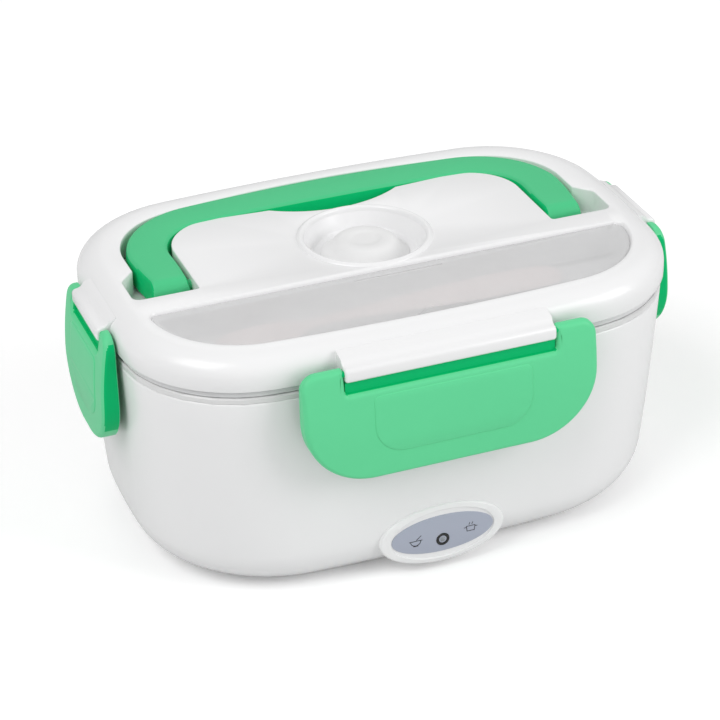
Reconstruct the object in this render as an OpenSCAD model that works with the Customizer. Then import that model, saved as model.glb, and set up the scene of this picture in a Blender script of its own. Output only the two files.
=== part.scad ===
// Electric lunch box with a lift-off lid, three snap clips and a folding handle.
// Millimetres. X runs along the long side, -Y is the front, Z is up, and Z = 0 is the table.

/* [Overall] */
// Height from the table to the top of the lid
height = 108; // [106:0.5:110]
// Half of the lid's length, without the clips
lid_half_l = 110.6; // [109:0.2:112]
// Half of the lid's width, without the clips
lid_half_w = 74.6; // [73.6:0.2:75.6]
// Corner radius of the lid, seen from above
lid_corner_r = 48.8; // [46:0.2:50]

/* [Body] */
// Thickness of the moulded walls
wall = 2.2; // [2:0.1:2.4]
// Radius of the rounding at the foot of the body
foot_round = 18; // [16:0.5:19]
// Height of the seam between the body shell and the liner's flange
seam_z = 89; // [88.5:0.1:89.2]

/* [Lid] */
// Width of the lid's rounded edge, seen from above
edge_w = 11; // [10:0.2:11.6]
// Height of the lid's rounded edge
edge_h = 8; // [7:0.2:8.6]
// Depth of the spoon compartment below the lid's top
pocket_depth = 13.5; // [12.5:0.1:13.8]
// Radius of the vent well at the lid's top
well_r = 24.2; // [23.6:0.1:24.8]

/* [Handle] */
// Width of the handle's arms
arm_w = 15; // [14:0.2:15.6]
// Height of the handle's section
handle_h = 10; // [9.4:0.1:10.2]

/* [Clips] */
// Thickness of a clip from front to back
clip_t = 6.5; // [6.3:0.1:6.5]
// Height of the front clip's lower edge above the table
front_clip_low = 56; // [54:0.2:58]
// Height of the end clips' lower edge above the table
end_clip_low = 51.8; // [51:0.2:56]

/* [Colours] */
// Colour of the clips and the handle
accent = "MediumAquamarine"; // [MediumAquamarine, SteelBlue, Tomato, Gray]

/* [Hidden] */
$fn = 48;
eps = 0.01;

// ---- plans: ovals of eight arcs, [half length, half width, corner r, long side r, end r] ----
lid_plan = [lid_half_l, lid_half_w, lid_corner_r, 882, 395];
rim_plan = inset(lid_plan, 1);
foot_plan = [rim_plan[0] - 5.3, rim_plan[1] - 3.9, lid_corner_r + 10.3, 882, 392];
wall_barrel = 0.63;

function inset(plan, d) = [for (v = plan) v - d];
function blend(p, q, t) = p + (q - p) * t;

// Centre of the corner arc, tangent inside both the long side's arc and the end's arc
function corner_centre(p) =
  let (
    long_c = [0, p[1] - p[3]],
    end_c = [p[0] - p[4], 0],
    d1 = p[3] - p[2],
    d2 = p[4] - p[2],
    span = end_c - long_c,
    len = norm(span),
    along = (d1 * d1 - d2 * d2 + len * len) / (2 * len),
    off = sqrt(d1 * d1 - along * along),
    u = span / len
  )
  long_c + u * along + [u[1], -u[0]] * off;

// One quarter of the oval, from the +X end to the middle of the +Y side
end_steps = 2;
corner_steps = 9;
long_steps = 3;
function quarter(p, coarse) =
  let (
    c = corner_centre(p),
    end_c = [p[0] - p[4], 0],
    long_c = [0, p[1] - p[3]],
    a1 = atan2(c[1], c[0] - end_c[0]),
    a2 = atan2(c[1] - long_c[1], c[0]),
    ne = coarse ? 1 : end_steps,
    nc = coarse ? 6 : corner_steps,
    nl = coarse ? 2 : long_steps
  )
  [
    for (k = [0:ne - 1]) end_c + p[4] * dir(a1 * k / ne),
    for (k = [0:nc - 1]) c + p[2] * dir(a1 + (a2 - a1) * k / nc),
    for (k = [0:nl]) long_c + p[3] * dir(a2 + (90 - a2) * k / nl)
  ];
function dir(a) = [cos(a), sin(a)];

// The whole oval, counter-clockwise
function oval(p, coarse = false) =
  let (q = quarter(p, coarse), n = len(q))
  [
    for (i = [0:n - 1]) q[i],
    for (i = [n - 2:-1:0]) [-q[i][0], q[i][1]],
    for (i = [1:n - 1]) [-q[i][0], -q[i][1]],
    for (i = [n - 2:-1:1]) [q[i][0], -q[i][1]]
  ];

// ---- lofts: a level is [list of 2D points, height] or [list of 3D points] ----
function ring_points(levels) =
  [for (l = levels) for (q = l[0]) len(q) > 2 ? q : [q[0], q[1], l[1]]];
function side_faces(n, rings, closed) = [
  for (k = [0:(closed ? rings - 1 : rings - 2)])
    for (i = [0:n - 1])
      let (a = k * n + i, b = k * n + (i + 1) % n, up = ((k + 1) % rings) * n)
        each [[a, up + i, up + (i + 1) % n], [a, up + (i + 1) % n, b]]
];
// A solid between a first ring that faces down and a last ring that faces up.
// caps splits an outline that isn't convex into convex faces.
module loft(levels, caps = undef) {
  n = len(levels[0][0]);
  last = (len(levels) - 1) * n;
  faces = is_undef(caps) ? [[for (i = [0:n - 1]) i]] : caps;
  polyhedron(
    ring_points(levels),
    concat(
      side_faces(n, len(levels), false),
      faces,
      [for (f = faces) [for (i = [len(f) - 1:-1:0]) last + f[i]]]
    )
  );
}
// A closed band, whose last ring joins the first
module loft_band(levels) {
  n = len(levels[0][0]);
  polyhedron(ring_points(levels), side_faces(n, len(levels), true));
}

// A tube of 6 sides along points that lie in any direction
wire_sides = 6;
function unit(v) = v / norm(v);
function tangent(path, i) =
  unit(path[min(i + 1, len(path) - 1)] - path[max(i - 1, 0)]);
function frame_u(t) = unit(cross(t, abs(t[2]) < 0.9 ? [0, 0, 1] : [1, 0, 0]));
module wire(path, r) {
  rings = [
    for (i = [0:len(path) - 1])
      let (t = tangent(path, i), u = frame_u(t), v = cross(t, u))
        for (k = [0:wire_sides - 1])
          path[i] + r * (u * cos(360 * k / wire_sides) + v * sin(360 * k / wire_sides))
  ];
  last = (len(path) - 1) * wire_sides;
  polyhedron(
    rings,
    concat(
      side_faces(wire_sides, len(path), false),
      [[for (i = [0:wire_sides - 1]) i]],
      [[for (i = [wire_sides - 1:-1:0]) last + i]]
    )
  );
}

module rounded_rect(l, w, r) {
  translate([-l / 2 + r, -w / 2]) square([l - 2 * r, w]);
  translate([-l / 2, -w / 2 + r]) square([l, w - 2 * r]);
  for (x = [-1, 1]) for (y = [-1, 1]) translate([x * (l / 2 - r), y * (w / 2 - r)]) circle(r);
}

// ---- heights ----
foot_h = 0.8;
cover_top = 2.9;
shell_low = 1.2;
flange_t = 2.4;
liner_top = seam_z + flange_t;
flange_gap = 0.2;
tray_flange_low = liner_top + flange_gap;
tray_flange_t = 2.6;
tray_top = tray_flange_low + tray_flange_t;
skirt_z = tray_top + 0.3;
liner_floor_low = 23;
liner_floor_t = 1.8;
liner_floor = liner_floor_low + liner_floor_t;
plate_t = 2;
plate_top = liner_floor + plate_t;
tray_low = plate_top + 0.3;

// ---- body shell ----
// Outline of the body at a height, before the rounding at its foot
function body_plan(z) = blend(foot_plan, rim_plan, pow(max(z, 0) / seam_z, wall_barrel));
function foot_level(angle) =
  let (z = shell_low + foot_round * (1 - cos(angle)))
  [inset(body_plan(z), foot_round * (1 - sin(angle))), z];
foot_start = 25;
foot_angles = [foot_start, 40, 55, 72, 90];
wall_heights = [38, 62];
panel_z = 16.4;
panel_half_l = 21;
panel_half_h = 8.1;
boss_margin = 4.7;
boss_y = -rim_plan[1] + 1.2;
panel_t = 0.6;
lamp_z = 13.6;
lamp_hole_r = 1.7;
ledge_low = 86.2;
ledge_t = 2;
inlet_z = 17;
inlet_w = 26;
inlet_h = 15;
inlet_rim_t = 1.6;
inlet_depth = 13;
inlet_face_y = body_plan(inlet_z)[1] + 0.9;
boss_front_t = 3;

module body_shell() {
  outer = [for (a = foot_angles) foot_level(a)];
  walls = [for (z = wall_heights) [body_plan(z), z]];
  rim = [[rim_plan, seam_z - 0.8], [inset(rim_plan, 0.3), seam_z]];
  outside = concat(outer, walls, rim);
  inside = [
    [inset(rim_plan, wall), seam_z],
    [inset(body_plan(62), wall), 62],
    [inset(body_plan(20), wall), 20],
    [inset(foot_level(55)[0], wall), foot_level(55)[1] + 1],
    [inset(foot_level(foot_start)[0], wall), cover_top + 0.1]
  ];
  color("white") difference() {
    union() {
      loft_band([for (l = concat(outside, inside)) [oval(l[0]), l[1]]]);
      panel_boss();
      inlet_boss();
      catch_ledge(60, 0, -rim_plan[1] - 1.5, 0);
      for (s = [-1, 1]) catch_ledge(28, s * (rim_plan[0] - 0.9), 0, 90);
    }
    // pocket and lamp hole for the indicator panel, and the hollow behind it
    translate([0, boss_y + panel_t, panel_z]) rotate([90, 0, 0])
      linear_extrude(2) panel_outline(0.1);
    translate([0, boss_y + 12, panel_z]) rotate([90, 0, 0])
      linear_extrude(12 - boss_front_t) panel_outline(-1);
    translate([0, boss_y + 6, lamp_z]) rotate([90, 0, 0]) cylinder(r = lamp_hole_r + 0.6, h = 10);
    // seat and opening of the power inlet
    translate([0, inlet_face_y + 4, inlet_z]) rotate([90, 0, 0]) {
      linear_extrude(4 + inlet_rim_t) rounded_rect(inlet_w + 0.2, inlet_h + 0.2, 5.1);
      linear_extrude(20) rounded_rect(inlet_w - 3.6, inlet_h - 3.6, 4);
    }
  }
}

function ellipse(a, b, n) = [for (k = [0:n - 1]) [a * cos(360 * k / n), b * sin(360 * k / n)]];
module panel_outline(grow) {
  polygon(ellipse(panel_half_l + grow, panel_half_h + grow, 48));
}
// Oval swelling that carries the indicator panel
module panel_boss() {
  a = panel_half_l + boss_margin;
  b = panel_half_h + boss_margin;
  steps = [[0, -7], [0, -3], [0.9, -0.9], [3, 0]];
  translate([0, boss_y, panel_z]) rotate([90, 0, 0])
    loft([for (s = steps) [ellipse(a - s[0], b - s[0], 40), s[1]]]);
}
// Flat pad that carries the power inlet
module inlet_boss() {
  translate([0, inlet_face_y - 0.4, inlet_z]) rotate([90, 0, 0]) linear_extrude(6)
    rounded_rect(inlet_w + 6, inlet_h + 6, 8);
}
// Straight ledge on the wall that a clip's hook catches under
module catch_ledge(len, x, y, turn) {
  translate([x, y, ledge_low + ledge_t / 2]) rotate([0, 0, turn])
    cube([len, 4.6, ledge_t], center = true);
}

// ---- base cover, its screws and the feet ----
cover_inset = 11.5;
screw_x = 52;
screw_y = 34;
foot_x = 68;
foot_y = 38;
module at_corners(x, y) {
  for (sx = [-1, 1]) for (sy = [-1, 1]) translate([sx * x, sy * y, 0]) children();
}
module base_cover() {
  plan = inset(foot_plan, cover_inset);
  color("white") difference() {
    loft([
      [oval(inset(plan, 0.8), true), foot_h],
      [oval(plan, true), foot_h + 0.6],
      [oval(plan, true), cover_top]
    ]);
    at_corners(screw_x, screw_y) {
      cylinder(r = 1.7, h = 5);
      cylinder(r = 3.2, h = 1.7);
    }
    at_corners(foot_x, foot_y) cylinder(r = 5.1, h = foot_h + 0.7);
  }
}
module base_screws() {
  color("silver") at_corners(screw_x, screw_y) {
    translate([0, 0, 1.7]) mirror([0, 0, 1]) cylinder(r = 2.8, h = 1.2);
    translate([0, 0, 1.7]) cylinder(r = 1.5, h = 9);
  }
}
module feet() {
  color("dimgray") at_corners(foot_x, foot_y) rotate_extrude()
    polygon([[0, 0], [4.4, 0], [5, 0.5], [5, foot_h + 0.7], [0, foot_h + 0.7]]);
}

// ---- inner liner: the well that the tray hangs in ----
// Inset of the well's inner face from the lid's outline
tray_inset_top = 7.6;
tray_inset_low = 13.6;
function tray_inset(z) =
  tray_inset_low + (tray_inset_top - tray_inset_low) * (z - tray_low) / (tray_flange_low - tray_low);
liner_gap = 0.8;
tray_round = 10;
// Rounded lower edge of a well: angle 0 is flat floor, 90 is the wall
function well_foot(low, r, d, angle) =
  let (z = low + r * (1 - cos(angle)))
  [inset(lid_plan, tray_inset(low + r) + d + r * (1 - sin(angle))), z];
post_r = 3.4;
post_low = cover_top;
clamp_x = 44;
clamp_post_low = 19.3;
module inner_liner() {
  lo = -liner_gap - liner_floor_t;
  li = -liner_gap;
  levels = [
    well_foot(liner_floor_low, tray_round, lo, 0),
    well_foot(liner_floor_low, tray_round, lo, 45),
    well_foot(liner_floor_low, tray_round, lo, 90),
    [inset(lid_plan, tray_inset(seam_z) + lo), seam_z],
    [inset(rim_plan, 0.3), seam_z],
    [inset(rim_plan, 0), seam_z + 0.3],
    [inset(rim_plan, 0), liner_top - 0.5],
    [inset(rim_plan, 0.5), liner_top],
    [inset(lid_plan, tray_inset(liner_top) + li - 0.5), liner_top],
    [inset(lid_plan, tray_inset(liner_top) + li), liner_top - 0.8],
    well_foot(liner_floor, tray_round - 1, li, 90),
    well_foot(liner_floor, tray_round - 1, li, 45),
    well_foot(liner_floor, tray_round - 1, li, 0)
  ];
  color("whitesmoke") difference() {
    union() {
      loft([for (l = levels) [oval(l[0], true), l[1]]]);
      at_corners(screw_x, screw_y)
        translate([0, 0, post_low]) cylinder(r = post_r, h = liner_floor_low - post_low + 0.5);
      for (s = [-1, 1]) translate([s * clamp_x, 0, clamp_post_low])
        cylinder(r = post_r, h = liner_floor_low - clamp_post_low + 0.5);
    }
    at_corners(screw_x, screw_y) translate([0, 0, post_low - 1]) cylinder(r = 1.5, h = 13);
    for (s = [-1, 1]) translate([s * clamp_x, 0, clamp_post_low - 1]) cylinder(r = 1.25, h = 4.4);
    translate([0, 0, liner_floor_low - 1]) linear_extrude(5) rounded_rect(70, 40, 3);
  }
}

// ---- heater ----
heater_l = 62;
heater_w = 32;
heater_low = liner_floor - 5;
module heating_plate() {
  color("lightgray") difference() {
    translate([0, 0, liner_floor]) linear_extrude(plate_t) rounded_rect(136, 78, 10);
    translate([0, 0, plate_top - 0.5]) linear_extrude(1) difference() {
      rounded_rect(116, 58, 7);
      rounded_rect(112, 54, 6);
    }
  }
}
module ptc_heater() {
  color("gainsboro") {
    translate([-heater_l / 2, -heater_w / 2, heater_low + 0.8])
      cube([heater_l, heater_w, liner_floor - heater_low - 0.8]);
    for (k = [0:8]) translate([-heater_l / 2 + 2 + k * 7, -heater_w / 2 + 1, heater_low])
      cube([2, heater_w - 2, 0.8 + eps]);
  }
}
module heater_film() {
  color("goldenrod") translate([-heater_l / 2, -heater_w / 2, heater_low - 0.3])
    cube([heater_l, heater_w, 0.3]);
}
clamp_t = 1;
module heater_clamp() {
  top = heater_low - 0.3;
  color("silver") difference() {
    union() {
      translate([-heater_l / 2 - 2, -7, top - clamp_t]) cube([heater_l + 4, 14, clamp_t]);
      for (s = [-1, 1]) {
        translate([s * (heater_l / 2 + 1.5) - 0.5, -7, clamp_post_low - clamp_t])
          cube([1, 14, top - clamp_post_low + clamp_t]);
        translate([s * clamp_x - 6 - (s > 0 ? 6 : 0), -7, clamp_post_low - clamp_t])
          cube([18, 14, clamp_t]);
      }
    }
    for (s = [-1, 1]) translate([s * clamp_x, 0, clamp_post_low - 2])
      cylinder(r = 1.6, h = 4);
  }
}
module clamp_screws() {
  low = clamp_post_low - clamp_t;
  color("silver") for (s = [-1, 1]) translate([s * clamp_x, 0, 0]) {
    translate([0, 0, low - 1.2]) cylinder(r = 2.6, h = 1.2);
    translate([0, 0, low]) cylinder(r = 1.25, h = 4);
  }
}
fuse_r = 2;
fuse_y = heater_w / 2 + fuse_r;
fuse_z = liner_floor_low - fuse_r;
module thermal_fuse() {
  color("tan") translate([-7, fuse_y, fuse_z]) rotate([0, 90, 0]) {
    cylinder(r = fuse_r, h = 14);
    translate([0, 0, -3]) cylinder(r = 0.6, h = 20);
  }
}

// ---- power inlet at the back, a two-pin socket ----
pin_gap = 8.6;
pin_r = 1.2;
socket_depth = 10;
module figure_eight(r) {
  for (s = [-1, 1]) translate([s * pin_gap / 2, 0]) circle(r);
  translate([-pin_gap / 2, -r * 0.72]) square([pin_gap, r * 1.44]);
}
module power_inlet() {
  color("whitesmoke") difference() {
    translate([0, inlet_face_y, inlet_z]) rotate([90, 0, 0]) {
      linear_extrude(inlet_rim_t) rounded_rect(inlet_w, inlet_h, 5);
      linear_extrude(inlet_depth) rounded_rect(inlet_w - 4, inlet_h - 4, 3.8);
    }
    translate([0, inlet_face_y + 1, inlet_z]) rotate([90, 0, 0])
      linear_extrude(socket_depth + 1) figure_eight(3.9);
    for (s = [-1, 1]) translate([s * pin_gap / 2, inlet_face_y + 1, inlet_z]) rotate([90, 0, 0])
      cylinder(r = pin_r, h = 20);
  }
}
module inlet_pins() {
  color("silver") for (s = [-1, 1]) translate([s * pin_gap / 2, inlet_face_y - 2, inlet_z])
    rotate([90, 0, 0]) cylinder(r = pin_r, h = 15);
}

// ---- wires ----
wire_r = 0.8;
pin_end_y = inlet_face_y - 17;
wire_turn_y = pin_end_y - 5;
module live_wire() {
  color("brown") wire([
    [-pin_gap / 2, pin_end_y, inlet_z], [-pin_gap / 2, wire_turn_y, inlet_z],
    [-8, 38, 17], [-16, 28, 14], [-20, 20, 15], [-18, fuse_y, fuse_z - 1],
    [-13, fuse_y, fuse_z], [-10, fuse_y, fuse_z]
  ], wire_r);
}
module neutral_wire() {
  color("royalblue") wire([
    [pin_gap / 2, pin_end_y, inlet_z], [pin_gap / 2, wire_turn_y, inlet_z],
    [12, 36, 16], [26, 26, 13], [36, 16, 14], [38, 11, 18],
    [36, 11, 22.2], [heater_l / 2, 11, 22.2]
  ], wire_r);
}
module fuse_wire() {
  color("brown") wire([
    [10, fuse_y, fuse_z], [14, fuse_y, fuse_z], [22, fuse_y + 3, fuse_z - 1.5],
    [30, fuse_y + 3, fuse_z - 2], [35, 16, 21], [34.5, 12, 22.2]
  ], wire_r);
}
board_y = boss_y + 7;
module led_wires() {
  color("crimson") for (s = [-1, 1]) wire([
    [s * 6, board_y + 1.2, 15], [s * 6, board_y + 5, 15], [s * 8, -50, 11],
    [s * 16, -40, 8], [s * 27, -28, 9], [s * 33, -20, 14], [s * 34, -14, 21],
    [s * 33, -11, 22.2], [s * heater_l / 2, -11, 22.2]
  ], 0.5);
}

// ---- indicator ----
module led_board() {
  color("darkgreen") difference() {
    translate([-9, board_y, 10]) cube([18, 1.2, 10]);
    translate([0, board_y - 1, lamp_z]) rotate([-90, 0, 0]) cylinder(r = 1.2, h = 3);
  }
}
module indicator_led() {
  color("honeydew") translate([0, board_y, lamp_z]) rotate([90, 0, 0]) rotate_extrude()
    polygon([[0, -0.6], [1.2, -0.6], [1.2, 0], [2, 0], [2, 1], [1.5, 1], [1.5, 6.6], [0.9, 7.1],
      [0, 7.2]]);
}
module lamp_ring() {
  color("black") translate([0, boss_y - 0.3, lamp_z]) rotate([90, 0, 0]) rotate_extrude()
    polygon([[lamp_hole_r, -3], [lamp_hole_r + 0.5, -3], [lamp_hole_r + 0.5, -0.2],
      [lamp_hole_r + 1.1, -0.2], [lamp_hole_r + 1.0, 0.2], [lamp_hole_r, 0.2]]);
}
module indicator_panel() {
  color("lightsteelblue") difference() {
    translate([0, boss_y + panel_t, panel_z]) rotate([90, 0, 0]) linear_extrude(panel_t)
      panel_outline(0);
    translate([0, boss_y + 3, lamp_z]) rotate([90, 0, 0]) cylinder(r = lamp_hole_r + 0.6, h = 6);
  }
}

// ---- food tray ----
tray_wall = 1.6;
divider_x = 34;
divider_t = 1.6;
divider_top = 84;
module food_tray() {
  out = [
    well_foot(tray_low, tray_round, 0, 0),
    well_foot(tray_low, tray_round, 0, 45),
    well_foot(tray_low, tray_round, 0, 90),
    [inset(lid_plan, tray_inset(tray_flange_low)), tray_flange_low],
    [inset(lid_plan, 2.1), tray_flange_low],
    [inset(lid_plan, 1.8), tray_flange_low + 0.4],
    [inset(lid_plan, 1.8), tray_top - 0.6],
    [inset(lid_plan, 2.3), tray_top]
  ];
  in = [
    [inset(lid_plan, tray_inset(tray_top) + tray_wall - 0.6), tray_top],
    [inset(lid_plan, tray_inset(tray_top) + tray_wall), tray_top - 0.8],
    well_foot(tray_low + tray_wall, tray_round, tray_wall, 90),
    well_foot(tray_low + tray_wall, tray_round, tray_wall, 45),
    well_foot(tray_low + tray_wall, tray_round, tray_wall, 0)
  ];
  color([0.85, 0.87, 0.88, 0.8]) {
    loft([for (l = concat(out, in)) [oval(l[0]), l[1]]]);
    intersection() {
      loft([
        [oval(well_foot(tray_low, tray_round, 0.4, 0)[0], true), tray_low + 1],
        [oval(well_foot(tray_low, tray_round, 0.4, 90)[0], true), tray_low + tray_round],
        [oval(inset(lid_plan, tray_inset(divider_top) + 0.4), true), divider_top]
      ]);
      translate([divider_x, -100, tray_low]) cube([divider_t, 200, 100]);
    }
  }
}

// ---- side cup, which stands in the tray's small end, and its lid ----
cup_gap = 1.2;
cup_low = tray_low + tray_wall + 0.3;
cup_h = 46;
cup_wall = 1.4;
cup_left = divider_x + divider_t + cup_gap;
module cup_block(d, low, top) {
  gap = tray_wall + cup_gap + d;
  levels = concat(
    [for (a = [0, 45, 90]) well_foot(low, tray_round, gap, a)],
    [[inset(lid_plan, tray_inset(cup_low + cup_h) + gap), top]]
  );
  intersection() {
    loft([for (l = levels) [oval(l[0], true), l[1]]]);
    translate([cup_left + d, -100, 0]) cube([100, 200, 100]);
  }
}
module side_cup() {
  color([0.9, 0.9, 0.92, 0.8]) difference() {
    cup_block(0, cup_low, cup_low + cup_h);
    cup_block(cup_wall, cup_low + cup_wall, cup_low + cup_h + eps);
  }
}
cup_lid_low = cup_low + cup_h + 0.3;
module cup_lid() {
  color([0.8, 0.92, 0.86, 0.9]) {
    intersection() {
      translate([0, 0, cup_lid_low]) linear_extrude(1.6)
        polygon(oval(inset(lid_plan, tray_inset(cup_lid_low) + tray_wall + 0.7), true));
      translate([cup_left - 0.5, -100, 0]) cube([100, 200, 100]);
    }
    translate([(cup_left + lid_half_l) / 2 - 6, 0, cup_lid_low]) linear_extrude(3.4)
      rounded_rect(10, 30, 3);
  }
}

// ---- lid ----
// Line of the handle: half of it, from the arm's end to the middle of the back, on +X
arm_x = 82;
turn_r = 22;
turn_c = [arm_x - turn_r, 27.5];
bar_rise = 2;
pivot_y = 1;
pivot_z = height + 0.6 - handle_h / 2;
bar_w = 17.6;
tip_w = 12.6;
turn_steps = 8;
bar_steps = 4;
// A station is [x, y, direction of the outer side in degrees, width]
function bar_y(x) = turn_c[1] + turn_r + bar_rise * (1 - pow(x / turn_c[0], 2));
function arm_stations(low_y) = [
  [arm_x - 1, low_y, 0, tip_w],
  [arm_x - 0.2, pivot_y + 9, 0, arm_w - 0.4],
  [arm_x, pivot_y + 18, 0, arm_w]
];
function turn_stations() = [
  for (k = [0:turn_steps])
    let (a = 90 * k / turn_steps)
      [turn_c[0] + turn_r * cos(a), turn_c[1] + turn_r * sin(a), a, arm_w]
];
function bar_stations() = [
  for (k = [1:bar_steps])
    let (x = turn_c[0] * (1 - k / bar_steps))
      [x, bar_y(x), 90 - 2 * bar_rise * x / pow(turn_c[0], 2) * 57.3 * 0.5,
        arm_w + (bar_w - arm_w) * k / bar_steps]
];
function half_line(low_y) = concat(arm_stations(low_y), turn_stations(), bar_stations());
function flip(s) = [-s[0], s[1], 180 - s[2], s[3]];
function handle_line(low_y) =
  let (h = half_line(low_y), n = len(h))
  concat(h, [for (i = [n - 2:-1:0]) flip(h[i])]);
// Outline of the handle's line, grown by two different amounts
function line_outline(line, grow_out, grow_in) = concat(
  [for (s = line) [s[0], s[1]] + dir(s[2]) * (s[3] / 2 + grow_out)],
  [for (i = [len(line) - 1:-1:0]) [line[i][0], line[i][1]] - dir(line[i][2])
    * (line[i][3] / 2 + grow_in)]
);
channel_front = -11;
channel_floor = height - handle_h - 0.2;
scoop_r = 47;
scoop_c = 79;
ear_pocket_x = 99;
module channel_space(grow, low) {
  translate([0, 0, low]) linear_extrude(height - low + (grow > 0 ? -2 : 2)) {
    polygon(line_outline(handle_line(channel_front - grow), 3 + grow, 2 + grow));
    for (s = [-1, 1]) translate([s * (ear_pocket_x - 8), -1.5])
      rounded_rect(16 + 2 * grow, 19 + 2 * grow, 4);
    intersection() {
      translate([0, scoop_c]) circle(scoop_r + grow, $fn = 96);
      translate([-40, scoop_c - scoop_r - 3]) square([80, 16]);
    }
  }
}

// Spoon compartment: the front part of an oval, cut by a straight back edge with round tips
pocket_plan = inset([lid_plan[0] - 1.2, lid_plan[1] + 1.1, lid_plan[2], 882, 395], 11);
pocket_back = -22.4;
tip_r = 4;
function pocket(d) =
  let (
    p = inset(pocket_plan, d),
    c = corner_centre(p),
    end_c = [p[0] - p[4], 0],
    long_c = [0, p[1] - p[3]],
    r = tip_r - min(d, tip_r - 0.8),
    cy = -pocket_back + d + r,
    cx = end_c[0] + sqrt(pow(p[4] - r, 2) - cy * cy),
    a0 = atan2(cy, cx - end_c[0]),
    a1 = atan2(c[1], c[0] - end_c[0]),
    a2 = atan2(c[1] - long_c[1], c[0]),
    half = [
      for (k = [0:4]) [cx, cy] + r * dir(-90 + (90 + a0) * k / 4),
      for (k = [0:9]) c + p[2] * dir(max(a0, a1) + (a2 - max(a0, a1)) * (k + 0.5) / 9.5),
      long_c + p[3] * dir(a2 + (90 - a2) / 2)
    ],
    n = len(half)
  )
  [
    for (i = [n - 1:-1:0]) [half[i][0], -half[i][1]],
    for (i = [0:n - 1]) [-half[i][0], -half[i][1]]
  ];
cover_t = 1.4;
cover_drop = 1;
cover_seat = height - cover_drop - cover_t;
seat_w = 2.4;
pocket_floor = height - pocket_depth;
module pocket_space() {
  loft([
    [pocket(1.3), cover_seat],
    [pocket(0.9), height - 1.1],
    [pocket(0), height + 0.1],
    [pocket(0), height + 1]
  ]);
  loft([
    [pocket(seat_w + 3.2), pocket_floor],
    [pocket(seat_w + 1.6), pocket_floor + 1.2],
    [pocket(seat_w + 1.1), cover_seat + 1]
  ]);
}

// Upright ribs on the compartment's back wall
rib_xs = [-20, 29];
rib_w = 3;
rib_high = 102;
module pocket_ribs() {
  for (x = rib_xs) translate([x - rib_w / 2, pocket_back - seat_w - 3.2, pocket_floor - 1])
    cube([rib_w, 3.2, rib_high - pocket_floor + 1]);
}

// Vent well
well_y = 5.1;
well_floor = 100.2;
well_low_r = 21.4;
collar_r = 26.9;
stem_r = 2.8;
module well_space() {
  translate([0, well_y, 0]) rotate_extrude($fn = 72)
    polygon([[0, well_floor], [well_low_r - 1.5, well_floor], [well_low_r, well_floor + 1.2],
      [well_r - 1.2, height - 2], [well_r, height + 2], [0, height + 2]]);
}
module well_collar() {
  translate([0, well_y, 0]) rotate_extrude($fn = 72)
    polygon([[well_r - 1.4, height - 4], [well_r - 0.3, height + 0.1], [well_r + 0.3, height + 0.7],
      [well_r + 1, height + 0.8], [well_r + 1.8, height + 0.5], [collar_r, height - 0.3],
      [collar_r, height - 4]]);
}

// Lips that carry the clips
axis_z = 100.2;
axis_out = 4.6;
lip_out = 2.5;
clip_front_y = 85.1;
clip_side_x = 117.5;
axis_y = clip_front_y - axis_out;
axis_x = clip_side_x - axis_out;
lip_half_long = 41.5;
lip_half_short = 17.4;
lip_low = 97.1;
stub_hole_r = 1.33;
stub_hole_d = 5;
module lip(half, root) {
  difference() {
    rotate([90, 0, 90]) translate([0, 0, -half]) linear_extrude(2 * half)
      polygon([[root, lip_low - axis_z], [-lip_out + 0.6, lip_low - axis_z],
        [-lip_out, lip_low - axis_z + 0.6], [-lip_out, 1.4], [-lip_out + 0.5, 2.3],
        [-0.4, 2.7], [-0.1, 3.3], [root - 1.5, 4.1], [root, 4.1]]);
    for (s = [-1, 1]) translate([s * (half - stub_hole_d + 2.5 + eps), 0, 0]) rotate([0, 90, 0])
      cylinder(r = stub_hole_r, h = stub_hole_d, center = true);
  }
}

edge_angles = [22.5, 45, 67.5, 90];
rib_in = 9.2;
rib_out = 7.4;
module lid() {
  ceiling = height - 2.2;
  edge_z = height - edge_h;
  inner = [
    [inset(lid_plan, rib_in + 1), ceiling],
    [inset(lid_plan, rib_in), ceiling - 1],
    [inset(lid_plan, rib_in), skirt_z + 0.7],
    [inset(lid_plan, rib_out), skirt_z + 0.7],
    [inset(lid_plan, rib_out), skirt_z + 3.7],
    [inset(lid_plan, wall), skirt_z + 3.7],
    [inset(lid_plan, wall), skirt_z]
  ];
  outer = [
    [inset(lid_plan, 0.5), skirt_z],
    [inset(lid_plan, 0.1), skirt_z + 0.5],
    [lid_plan, edge_z]
  ];
  edge = [for (a = edge_angles) [inset(lid_plan, edge_w * (1 - cos(a))), edge_z + edge_h * sin(a)]];
  color("white") difference() {
    union() {
      loft([for (l = concat(inner, outer, edge)) [oval(l[0]), l[1]]]);
      channel_space(wall, channel_floor - 1.8);
      loft([
        [pocket(seat_w + 1.2), pocket_floor - 1.8],
        [pocket(seat_w - 0.6), pocket_floor + 1.5],
        [pocket(seat_w - 0.6), 97],
        [pocket(-1.2), 99],
        [pocket(-1.2), height - 2]
      ]);
      translate([0, well_y, 0]) {
        translate([0, 0, well_floor - 2]) cylinder(r = well_low_r + 2, h = height - well_floor);
      }
      well_collar();
      translate([0, -axis_y, axis_z]) lip(lip_half_long, 7);
      for (s = [-1, 1])
        rotate([0, 0, s * 90]) translate([0, -axis_x, axis_z]) lip(lip_half_short, 3.6);
    }
    channel_space(0, channel_floor);
    difference() {
      pocket_space();
      pocket_ribs();
    }
    well_space();
    translate([0, well_y, 0]) {
      cylinder(r = stem_r + 0.1, h = height);
      for (k = [0:2]) rotate([0, 0, 120 * k + 30]) translate([9, 0, 0]) cylinder(r = 1.2, h = height);
    }
    // bearings of the handle's stubs
    for (s = [-1, 1]) translate([s * (arm_x - tip_w / 2 - 5), pivot_y, pivot_z])
      rotate([0, 90, 0]) cylinder(r = 2.08, h = 8, center = true);
  }
}

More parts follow.
